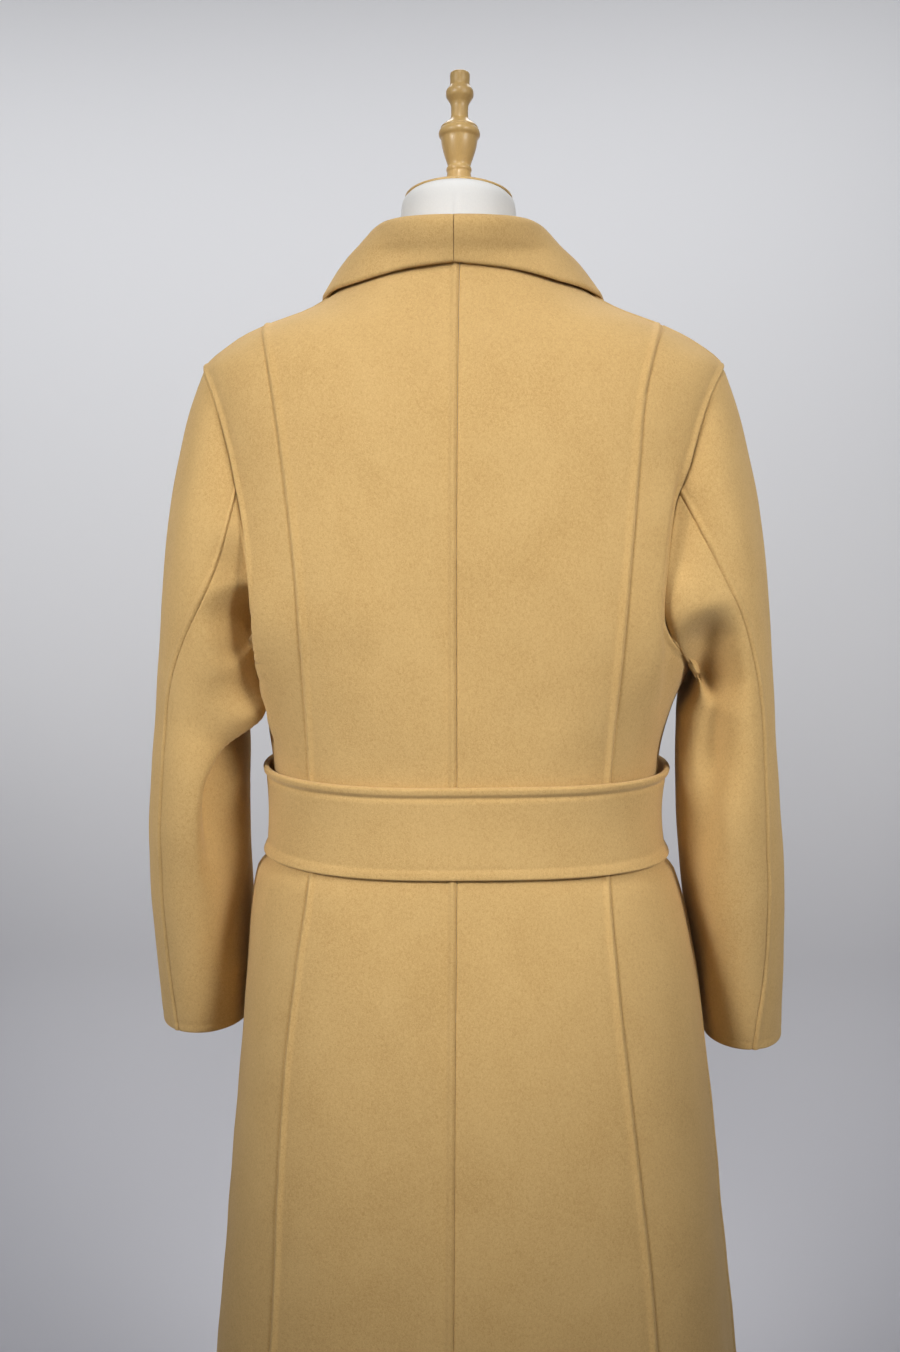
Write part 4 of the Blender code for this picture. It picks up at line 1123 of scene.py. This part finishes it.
def sleeve_grid(side):
    """A whole sleeve: rings from the armhole to the cuff, and the column of its front seam."""
    loop, loop_normals, loop_turn, run, hind, fore = armhole_loop(side)
    total = run[-1]
    under = edge_spaced(hind, fore, SLEEVE_SEAM_OFFSETS, UNDER_SLEEVE_COLUMNS)
    upper = edge_spaced(fore, hind + total, SLEEVE_SEAM_OFFSETS, UPPER_SLEEVE_COLUMNS)
    labels = np.concatenate((under, upper[1:-1]))
    in_under = labels <= fore
    loop_into = unit(np.cross(loop_normals, np.gradient(loop, axis=0)))
    loop_into *= np.sign((loop_into * (loop.mean(axis=0) - loop)).sum(axis=-1, keepdims=True))
    loop_start = loop + loop_into * ARMHOLE_GAP
    loop_way = head_way(loop_turn, side)
    by_hind = np.where(in_under, 1 - ease(hind, fore, labels), ease(fore, hind + total, labels))

    def on_loop(values, places):
        """Values of the armhole's edge at lengths along it."""
        return np.stack([np.interp(places % total, run, values[:, axis]) for axis in range(3)], axis=-1)

    def round_degs(places, level):
        """Angles round the tube of places round the sleeve."""
        hind_deg = along(SLEEVE_RINGS, level)[6 if side < 0 else 7]
        deg_under = hind_deg + (FRONT_ARM_SEAM_DEG - hind_deg) * (places - hind) / (fore - hind)
        over = (places - fore) / (hind + total - fore)
        deg_upper = FRONT_ARM_SEAM_DEG + (hind_deg + 360.0 - FRONT_ARM_SEAM_DEG) * over
        return np.where(in_under, deg_under, deg_upper)

    def head_row(near, share):
        """Points a length from the armhole, or a share of the way from there to the tube."""
        t_mean = share + (1 - share) * near / SLEEVE_HEAD_LENGTH
        drift = HIND_SEAM_DRIFTS[side] * DRIFT_SCALE * t_mean * (1 - t_mean) ** 2
        places = labels + by_hind * drift
        start, way = on_loop(loop_start, places), unit(on_loop(loop_way, places))
        degs = round_degs(places, SLEEVE_TOP_LEVEL)
        end = sleeve_tube(SLEEVE_TOP_LEVEL, degs, side)
        fall = unit(sleeve_tube(SLEEVE_TOP_LEVEL - SLEEVE_FALL_PROBE, degs, side) - end)
        span = np.linalg.norm(end - start, axis=-1, keepdims=True)
        t = near / span + (1 - near / span) * share
        return (
            start * (2 * t**3 - 3 * t**2 + 1) + way * span * (t**3 - 2 * t**2 + t)
            + end * (3 * t**2 - 2 * t**3) + fall * span * (t**3 - t**2)
        )

    head = [head_row(near, 0.0) for near in SEAM_OFFSETS]
    shares = np.linspace(0.0, 1.0, SLEEVE_HEAD_ROWS + 1)[1:-1]
    head += [head_row(SEAM_OFFSETS[-1], share) for share in shares]
    cuff = CUFF_LEVELS[side]
    rows = int((SLEEVE_TOP_LEVEL - cuff - EDGE_OFFSETS[-1]) / SLEEVE_TUBE_STEP)
    levels = levels_down(SLEEVE_TOP_LEVEL, cuff, rows)
    grid = np.array(head + [sleeve_tube(level, round_degs(labels, level), side) for level in levels])
    normal = ring_normals(grid)
    rise = crease_rise(grid, SLEEVE_CREASES[side]) + sway_rise(grid)
    rise += fold_rise(grid, normal, SLEEVE_FOLDS[side])
    moved = normal * rise[..., None]
    moved[..., 1] += crease_rise(grid, SLEEVE_HOLLOWS[side])
    loose = ease(0.0, SLEEVE_HELD_WIDTH, run_down(grid))
    return grid + moved * loose[..., None], len(under) - 1


for side, word in ((-1, "left"), (1, "right")):
    sleeve, fore_column = sleeve_grid(side)
    sleeve_normal = ring_normals(sleeve)
    columns = sleeve.shape[1]
    for half, first, last, band, flat, area in (
        ("under", 0, fore_column, 0.0, UNDER_SLEEVE_FLAT, UNDER_SLEEVE_AREA),
        ("upper", fore_column, columns, SLEEVE_BAND_SHARE, UPPER_SLEEVE_FLAT, UPPER_SLEEVE_AREA),
    ):
        picked = np.arange(first, last + 1) % columns
        base, normal = sleeve[:, picked].copy(), sleeve_normal[:, picked]
        across = run_across(base)
        down = run_down(base)
        from_cuff = down[-1:] - down
        relief = seam_relief(across, band) + seam_relief(across[:, -1:] - across, band)
        relief = relief + ARMHOLE_GROOVE_SHARE * seam_relief(down, 0.0) + stitch_relief(from_cuff)
        draw = edge_draw(from_cuff, WALL)
        for column, inward in ((0, 1), (-1, -2)):
            base[:, column] += unit(base[:, inward] - base[:, column]) * SEAM_GAP / 2
        piece = cloth_shell(
            f"{half}_sleeve_{word}_wool", base + normal * (relief - draw)[..., None],
            base - normal * (WALL - draw)[..., None],
        )
        place_piece(piece, f"{half}_sleeve_{word}")


# Shawl collar: two halves of the same wool, joined at the centre back and cut in one with the lapels.
# It stands up from the neck seam, rolls over and falls outwards to a thick hand-turned edge.
COLLAR_WALL = 0.0042
COLLAR_ROLL_OUT = 0.0086
COLLAR_EDGE_OUT = 0.0031
COLLAR_BULGE = 0.0020
COLLAR_STATIONS = (
    # distance, roll_deg, roll_level, edge_deg, edge_level
    (0.000, 0.0, 1.4500, 0.0, 1.4130),
    (0.045, 35.0, 1.4495, 34.0, 1.4068),
    (0.085, 65.0, 1.4460, 62.0, 1.3968),
    (0.117, 90.0, 1.4390, 90.0, 1.3895),
    (0.145, 110.0, 1.4280, 109.0, 1.3780),
    (0.176, 128.5, 1.4090, 121.0, 1.3450),
    (0.225, 145.0, 1.3670, 127.0, 1.2900),
    (0.324, 156.5, 1.2740, 136.0, 1.1950),
    (0.438, 168.0, 1.1620, 150.0, 1.1100),
    (0.500, 174.5, 1.1010, 163.0, 1.0680),
    (0.545, 181.0, 1.0600, 174.0, 1.0350),
)
COLLAR_STAND_TURN = (
    # share of the way from the seam to the roll line, share of the roll's thickness
    (0.00, 0.00),
    (0.50, 0.00),
    (0.86, 0.12),
    (1.00, 0.50),
    (0.86, 0.92),
)
COLLAR_FALL_SHARES = (0.30, 0.65, 1.00)
COLLAR_BACK_DEGS = (0.0, 15.0, 30.0, 45.0, 60.0, 75.0, 90.0)
COLLAR_FRONT_LEVELS = (
    1.420, 1.410, 1.400, 1.390, 1.380, 1.364, 1.345,
    1.310, 1.282, 1.242, 1.194, 1.145, 1.104, 1.070,
)
COLLAR_LAST_LEVELS = {-1: 1.104, 1: 1.070}
COLLAR_ROWS = 150
COLLAR_COLUMNS = 64
COLLAR_EDGE_ROUND = 0.0034
COLLAR_SEAM_ASIDE, COLLAR_SEAM_ASIDE_REACH = 0.0045, 0.07
COLLAR_GROOVE_SHARE = 0.3
COLLAR_SEAM_GAP = 0.00012
COLLAR_SIDE_FULLNESS = 0.0085
COLLAR_FULL_FROM_DEGS, COLLAR_FULL_TO_DEGS = (35.0, 75.0), (140.0, 105.0)


def collar_section(side, seam_deg, seam_level, distance):
    """Points across the collar, from the neck seam over the roll to the outer edge."""
    roll_deg, roll_level, edge_deg, edge_level = along(COLLAR_STATIONS, distance)
    points = []
    for share, out_share in COLLAR_STAND_TURN:
        deg = seam_deg + (roll_deg - seam_deg) * share
        level = seam_level + (roll_level - seam_level) * share
        points.append((deg, level, COLLAR_ROLL_OUT * out_share))
    at_side = ease(*COLLAR_FULL_FROM_DEGS, roll_deg) * ease(*COLLAR_FULL_TO_DEGS, roll_deg)
    fullness = COLLAR_BULGE + COLLAR_SIDE_FULLNESS * at_side
    from_deg, from_level = deg, level
    for share in COLLAR_FALL_SHARES:
        deg = from_deg + (edge_deg - from_deg) * share
        level = from_level + (edge_level - from_level) * share
        out = COLLAR_ROLL_OUT + (COLLAR_EDGE_OUT - COLLAR_ROLL_OUT) * share
        points.append((deg, level, out + fullness * 4 * share * (1 - share)))
    degs, levels, outs = np.array(points).T
    if side > 0:
        outs = outs + wrap_lift(degs)
    return body_surface(side * degs, levels) + body_normal(side * degs, levels) * outs[:, None]


def sheet_normals(grid):
    """Directions square to an open sheet."""
    return unit(np.cross(np.gradient(grid, axis=0), np.gradient(grid, axis=1)))


for side, word in ((-1, "left"), (1, "right")):
    seam = [(deg, NECK_LEVEL) for deg in COLLAR_BACK_DEGS]
    front_levels = [level for level in COLLAR_FRONT_LEVELS if level >= COLLAR_LAST_LEVELS[side]]
    seam += [(float(front_edge_deg(level)), level) for level in front_levels]
    seam_degs, seam_levels = np.array(seam).T
    distances = run_down(body_surface(side * seam_degs, seam_levels))
    sections = np.array([collar_section(side, *row) for row in zip(seam_degs, seam_levels, distances)])
    collar = refined(sections, COLLAR_ROWS)
    collar = refined(collar.swapaxes(0, 1), COLLAR_COLUMNS).swapaxes(0, 1)
    from_middle = run_down(collar)
    collar[0, :, 0] = side * COLLAR_SEAM_GAP / 2
    collar[..., 0] -= COLLAR_SEAM_ASIDE * (1 - ease(0.0, COLLAR_SEAM_ASIDE_REACH, from_middle))
    normal = sheet_normals(collar)
    normal *= np.sign((normal[:, -1] * (collar[:, -1] * (1.0, 1.0, 0.0))).sum(axis=-1).mean())
    across = run_across(collar)
    draw = edge_draw(across[:, -1:] - across, COLLAR_WALL, COLLAR_EDGE_ROUND)
    relief = COLLAR_GROOVE_SHARE * seam_relief(from_middle, 0.0)
    piece = cloth_shell(
        f"shawl_collar_{word}_wool", collar + normal * (COLLAR_WALL / 2 - draw + relief)[..., None],
        collar - normal * (COLLAR_WALL / 2 - draw)[..., None],
    )
    place_piece(piece, f"shawl_collar_{word}")


# Belt: one long strip of the wool, doubled and turned at both edges, wrapped round the waist.
# It lies close at the back, stands off a little at the sides and rolls at its edges.
BELT_LEVEL = 0.9605
BELT_WIDTH = 0.076
BELT_WALL = 0.0040
BELT_REST = 0.0008
BELT_SIDE_STAND_OFF = 0.0030
BELT_STEPS = 360
BELT_FLARES = {-1: 0.0008, 1: 0.0030}
BELT_HOLLOW = 0.0012
BELT_RIM_HEIGHT, BELT_RIM_MIDDLE, BELT_RIM_HALF_WIDTH = 0.0014, 0.0036, 0.0036
BELT_LINE_DEPTH, BELT_LINE_FROM_EDGE, BELT_LINE_HALF_WIDTH = 0.0012, 0.0092, 0.0018
BELT_LOWER_EDGE_SHARE = 0.35
BELT_EDGE_WAVE, BELT_EDGE_WAVES, BELT_EDGE_WAVE_DEG = 0.0009, 3, 40.0
BELT_ROW_OFFSETS = (
    0.0, 0.0002, 0.0006, 0.0012, 0.0020, 0.0030, 0.0042, 0.0055,
    0.0068, 0.0080, 0.0092, 0.0104, 0.0120, 0.0145, 0.0180,
)
BELT_MIDDLE_ROWS = 12
WRAP_EDGE_DEG = 205.0
WRAP_EDGE_FADE_DEG = 225.0


def body_reach(deg, level):
    """Distance of the coat's outer face from its upright axis."""
    return np.linalg.norm(body_surface(deg, level)[..., :2], axis=-1)


belt_places = edge_spaced(0.0, BELT_WIDTH, BELT_ROW_OFFSETS, BELT_MIDDLE_ROWS)
belt_degs = np.arange(BELT_STEPS) * 360.0 / BELT_STEPS
belt_rows, belt_turns = np.meshgrid(belt_places, belt_degs, indexing="ij")
belt_levels = BELT_LEVEL + BELT_WIDTH / 2 - belt_rows
from_belt_edge = np.minimum(belt_rows, BELT_WIDTH - belt_rows)
aside = np.abs(np.sin(np.radians(belt_turns))) ** 3
belt_away = unit(body_normal(belt_turns, BELT_LEVEL) * (1.0, 1.0, 0.0))
waist_reach = body_reach(belt_turns, BELT_LEVEL)
swell = np.maximum(body_reach(belt_turns, belt_levels), waist_reach) - waist_reach
bow = (2 * belt_rows / BELT_WIDTH - 1) ** 2
belt_flare = np.where(signed_deg(belt_turns) > 0, BELT_FLARES[1], BELT_FLARES[-1]) * bow
belt_out = wrap_lift(belt_turns) * (1 - ease(WRAP_EDGE_DEG, WRAP_EDGE_FADE_DEG, belt_turns))
belt_out = belt_out + swell + BELT_REST + (BELT_SIDE_STAND_OFF + belt_flare) * aside
belt_base = body_surface(belt_turns, BELT_LEVEL) + belt_away * belt_out[..., None]
belt_wave = np.sin(np.radians(BELT_EDGE_WAVES * belt_turns + BELT_EDGE_WAVE_DEG))
belt_base[..., 2] = belt_levels + BELT_EDGE_WAVE * belt_wave
from_rim = (from_belt_edge - BELT_RIM_MIDDLE) / BELT_RIM_HALF_WIDTH
from_line = (from_belt_edge - BELT_LINE_FROM_EDGE) / BELT_LINE_HALF_WIDTH
belt_relief = BELT_RIM_HEIGHT * np.exp(-(from_rim**4)) - BELT_LINE_DEPTH * np.exp(-(from_line**2))
belt_relief *= np.where(belt_rows < BELT_WIDTH / 2, 1.0, BELT_LOWER_EDGE_SHARE)
belt_relief -= BELT_HOLLOW * (1 - bow)
belt_draw = edge_draw(from_belt_edge, BELT_WALL)
belt_band = cloth_shell(
    "belt_band_wool", belt_base + belt_away * (BELT_WALL + belt_relief - belt_draw)[..., None],
    belt_base + belt_away * belt_draw[..., None], ring=True,
)
place_piece(belt_band, "belt_band")


# Belt knot and ends: the strip is tied once at the front, off centre, and its two ends hang down.
# The ends are gathered in the knot and open out flat over the skirt.
KNOT_HALF_WIDTH, KNOT_HALF_DEPTH, KNOT_HALF_HEIGHT = 0.031, 0.0195, 0.042
KNOT_SQUARENESS = 0.22
KNOT_DEG = 184.0
KNOT_ROWS, KNOT_COLUMNS = 70, 120
KNOT_PLEATS = 7.0
KNOT_PLEAT_HEIGHT = 0.0014
KNOT_PLEAT_WAY = (0.80, 0.0, 0.45)
KNOT_WRAP_DEPTH, KNOT_WRAP_HALF_WIDTH = 0.0045, 0.0035
KNOT_WRAP_WAY, KNOT_WRAP_HEIGHT = (-0.55, 0.0, 0.85), 0.012
KNOT_SHARP_DEG = 80.0
TAIL_WALL = 0.0040
TAIL_TOP_LEVEL = 0.948
TAIL_LIE_LEVEL = 0.850
TAIL_TOP_HALF_WIDTH = 0.014
TAIL_HALF_WIDTH = 0.037
TAIL_OUT_AT_BELT = 0.0096
TAIL_OUT_ON_SKIRT = 0.0072
TAIL_ROWS, TAIL_MIDDLE_COLUMNS = 119, 20
TAIL_PLEATS = 2.5
TAIL_PLEAT_HEIGHT = 0.0030
TAILS = (
    # side, top_deg, end_deg, end_level
    ("right", 176.5, 163.5, 0.515),
    ("left", 190.5, 197.5, 0.545),
)

knot_v = np.linspace(-math.pi / 2, math.pi / 2, KNOT_ROWS)[:, None]
knot_u = (np.arange(KNOT_COLUMNS) * 2 * math.pi / KNOT_COLUMNS)[None, :]
knot_wide = np.cos(knot_v)
knot_ball = (knot_wide * np.cos(knot_u), knot_wide * np.sin(knot_u), np.sin(knot_v) + 0.0 * knot_u)
knot_ball = np.stack(knot_ball, axis=-1)
to_box = 1 / np.abs(knot_ball).max(axis=-1, keepdims=True)
knot_points = knot_ball * (1 + KNOT_SQUARENESS * (to_box - 1))
knot_points = knot_points * (KNOT_HALF_WIDTH, KNOT_HALF_DEPTH, KNOT_HALF_HEIGHT)
slant = knot_points @ KNOT_PLEAT_WAY
from_wrap = (knot_points @ KNOT_WRAP_WAY - KNOT_WRAP_HEIGHT) / KNOT_WRAP_HALF_WIDTH
pleats = KNOT_PLEAT_HEIGHT * np.sin(slant / KNOT_HALF_WIDTH * KNOT_PLEATS) * knot_wide**0.5
pleats = pleats - KNOT_WRAP_DEPTH * np.exp(-(from_wrap**2)) * knot_wide
knot_points = knot_points + knot_ball * (pleats - KNOT_PLEAT_HEIGHT)[..., None]
knot_out = body_normal(KNOT_DEG, BELT_LEVEL) * (TAIL_OUT_AT_BELT + TAIL_WALL)
knot_seat = body_surface(KNOT_DEG, BELT_LEVEL) + knot_out
knot_points = knot_points + (knot_seat[0], knot_seat[1] + KNOT_HALF_DEPTH, BELT_LEVEL)
knot = ringed_solid("belt_knot_wool", knot_points[1:-1], wool, KNOT_SHARP_DEG)
place_piece(knot, "belt_knot")
for word, top_deg, end_deg, end_level in TAILS:
    tail_levels = levels_down(TAIL_TOP_LEVEL, end_level, TAIL_ROWS)
    tail_down = ease(TAIL_TOP_LEVEL, TAIL_LIE_LEVEL, tail_levels)[:, None]
    tail_half = TAIL_TOP_HALF_WIDTH + (TAIL_HALF_WIDTH - TAIL_TOP_HALF_WIDTH) * tail_down
    tail_middle = top_deg + (end_deg - top_deg) * tail_down
    tail_places = edge_spaced(0.0, 2 * TAIL_HALF_WIDTH, EDGE_OFFSETS, TAIL_MIDDLE_COLUMNS)
    tail_shares = tail_places / TAIL_HALF_WIDTH - 1
    half_deg = np.degrees(tail_half / body_reach(tail_middle[:, 0], tail_levels)[:, None])
    tail_degs = tail_middle + half_deg * tail_shares[None, :]
    tail_rows = tail_levels[:, None] + 0.0 * tail_degs
    normal = body_normal(tail_degs, tail_rows)
    out = TAIL_OUT_AT_BELT + (TAIL_OUT_ON_SKIRT - TAIL_OUT_AT_BELT) * tail_down
    pleats = (1 + np.cos(math.pi * TAIL_PLEATS * tail_shares)) / 2
    gather = TAIL_PLEAT_HEIGHT * (1 - tail_down) ** 0.5 * pleats
    base = body_surface(tail_degs, tail_rows) + normal * (out + gather)[..., None]
    across = run_across(base)
    from_side = np.minimum(across, across[:, -1:] - across)
    from_edge = np.minimum(from_side, tail_rows - end_level)
    draw = edge_draw(from_edge, TAIL_WALL)
    relief = stitch_relief(from_edge)
    tail = cloth_shell(
        f"belt_tail_{word}_wool", base + normal * (TAIL_WALL + relief - draw)[..., None],
        base + normal * draw[..., None],
    )
    place_piece(tail, f"belt_tail_{word}")


# Floor and backdrop: one pale matt sweep, flat under the stand, curving up behind it, clear from its back.
# Its colour is painted shade: a darker grey on the floor and low on the backdrop, fading to pale higher up.
# Two panels on each side of the camera, aimed high and low, light the coat, and a small one by the ceiling.
# One more lights the backdrop and one the coat's front, and the room adds a weak even light.
SWEEP_HALF_WIDTH = 5.0
SWEEP_FRONT_Y = -6.0
SWEEP_BACK_Y = 1.30
SWEEP_CURVE = 0.45
SWEEP_TOP = 5.0
SWEEP_CURVE_STEPS = 24
SWEEP_PALE = (0.80, 0.80, 0.815, 1.0)
# Painted shade: the darker grey of the floor and the lower backdrop, for light that falls off low down.
SWEEP_PAINTED_SHADE = (0.54, 0.54, 0.575, 1.0)
SWEEP_PAINTED_SHADE_LEVEL = 0.10
SWEEP_PALE_LEVEL = 1.15
ROOM_COLOUR = (0.93, 0.95, 1.0, 1.0)
ROOM_STRENGTH = 0.20
PANEL_WARM = (1.0, 0.985, 0.955)
CEILING_WARM = (1.0, 0.985, 0.97)
BACKDROP_COOL = (0.975, 0.985, 1.0)
LIGHTS = (
    # name, place, aim, width, height, power, spread_deg, colour
    ("left_high_panel", (-1.60, -1.65, 2.15), (0.02, 0.0, 1.40), 1.0, 0.7, 0.16, 28.0, PANEL_WARM),
    ("left_low_panel", (-1.60, -1.65, 2.10), (0.02, 0.0, 0.98), 1.0, 0.7, 2.02, 28.0, PANEL_WARM),
    ("right_high_panel", (1.60, -1.65, 2.15), (0.02, 0.0, 1.40), 1.0, 0.7, 0.14, 28.0, PANEL_WARM),
    ("right_low_panel", (1.60, -1.65, 2.10), (0.02, 0.0, 0.98), 1.0, 0.7, 1.84, 28.0, PANEL_WARM),
    ("backdrop_panel", (-0.26, 0.35, 2.40), (-0.26, 1.3, 1.06), 2.6, 0.4, 10.0, 88.0, BACKDROP_COOL),
    ("ceiling_panel", (0.0, -1.00, 2.75), (0.0, -0.08, 1.46), 0.5, 0.3, 0.23, 14.0, CEILING_WARM),
    ("front_panel", (0.0, 1.15, 2.35), (0.0, 0.1, 1.05), 1.4, 0.3, 2.2, 70.0, PANEL_WARM),
)

sweep_profile = [(SWEEP_FRONT_Y, 0.0)]
for step in range(SWEEP_CURVE_STEPS + 1):
    angle = math.pi / 2 * step / SWEEP_CURVE_STEPS
    sweep_profile.append((
        SWEEP_BACK_Y - SWEEP_CURVE * (1 - math.sin(angle)), SWEEP_CURVE * (1 - math.cos(angle)),
    ))
sweep_profile.append((SWEEP_BACK_Y, SWEEP_TOP))
sweep_sides = (-SWEEP_HALF_WIDTH, SWEEP_HALF_WIDTH)
sweep_points = [(x, y, z) for y, z in sweep_profile for x in sweep_sides]
sweep_index = np.arange(len(sweep_points)).reshape(-1, 2)
sweep_finish, n = new_finish(
    "pale_matt_sweep", place="ShaderNodeTexCoord", parts="ShaderNodeSeparateXYZ",
    grade="ShaderNodeMapRange", tone="ShaderNodeMix", side="ShaderNodeNewGeometry",
    clear="ShaderNodeBsdfTransparent", shown="ShaderNodeMixShader",
)
# Painted shade: the sweep's colour blends by height from the darker grey near the floor to pale above.
n["grade"].interpolation_type = "SMOOTHSTEP"
n["tone"].data_type = "RGBA"
set_inputs(n["grade"], From_Min=SWEEP_PAINTED_SHADE_LEVEL, From_Max=SWEEP_PALE_LEVEL)
set_inputs(n["tone"], A=SWEEP_PAINTED_SHADE, B=SWEEP_PALE)
set_inputs(n["shader"], Roughness=0.9, Specular_IOR_Level=0.1)
wire(
    sweep_finish.node_tree, n,
    ("place", "Object", "parts", "Vector"),
    ("parts", "Z", "grade", "Value"),
    ("grade", "Result", "tone", "Factor"),
    ("tone", "Result", "shader", "Base Color"),
    ("side", "Backfacing", "shown", "Fac"),
    ("shader", "BSDF", "shown", 1),
    ("clear", "BSDF", "shown", 2),
    ("shown", "Shader", "surface", "Surface"),
)
sweep_mesh = bpy.data.meshes.new("pale_sweep")
sweep_mesh.from_pydata(sweep_points, [], quads_of(sweep_index).tolist())
sweep_mesh.shade_smooth()
sweep_mesh.materials.append(sweep_finish)
sweep = bpy.data.objects.new("pale_sweep", sweep_mesh)
bpy.context.scene.collection.objects.link(sweep)

room = bpy.data.worlds.new("room")
room.use_nodes = True
room.node_tree.nodes["Background"].inputs["Color"].default_value = ROOM_COLOUR
room.node_tree.nodes["Background"].inputs["Strength"].default_value = ROOM_STRENGTH
bpy.context.scene.world = room
bpy.context.scene.view_settings.view_transform = "Standard"
for name, place, aim, width, height, power, spread_deg, colour in LIGHTS:
    panel_data = bpy.data.lights.new(name, "AREA")
    panel_data.shape = "RECTANGLE"
    panel_data.size = width
    panel_data.size_y = height
    panel_data.energy = power
    panel_data.spread = math.radians(spread_deg)
    panel_data.color = colour
    panel_light = bpy.data.objects.new(name, panel_data)
    panel_light.location = place
    panel_light.rotation_euler = (Vector(aim) - Vector(place)).to_track_quat("-Z", "Y").to_euler()
    bpy.context.scene.collection.objects.link(panel_light)
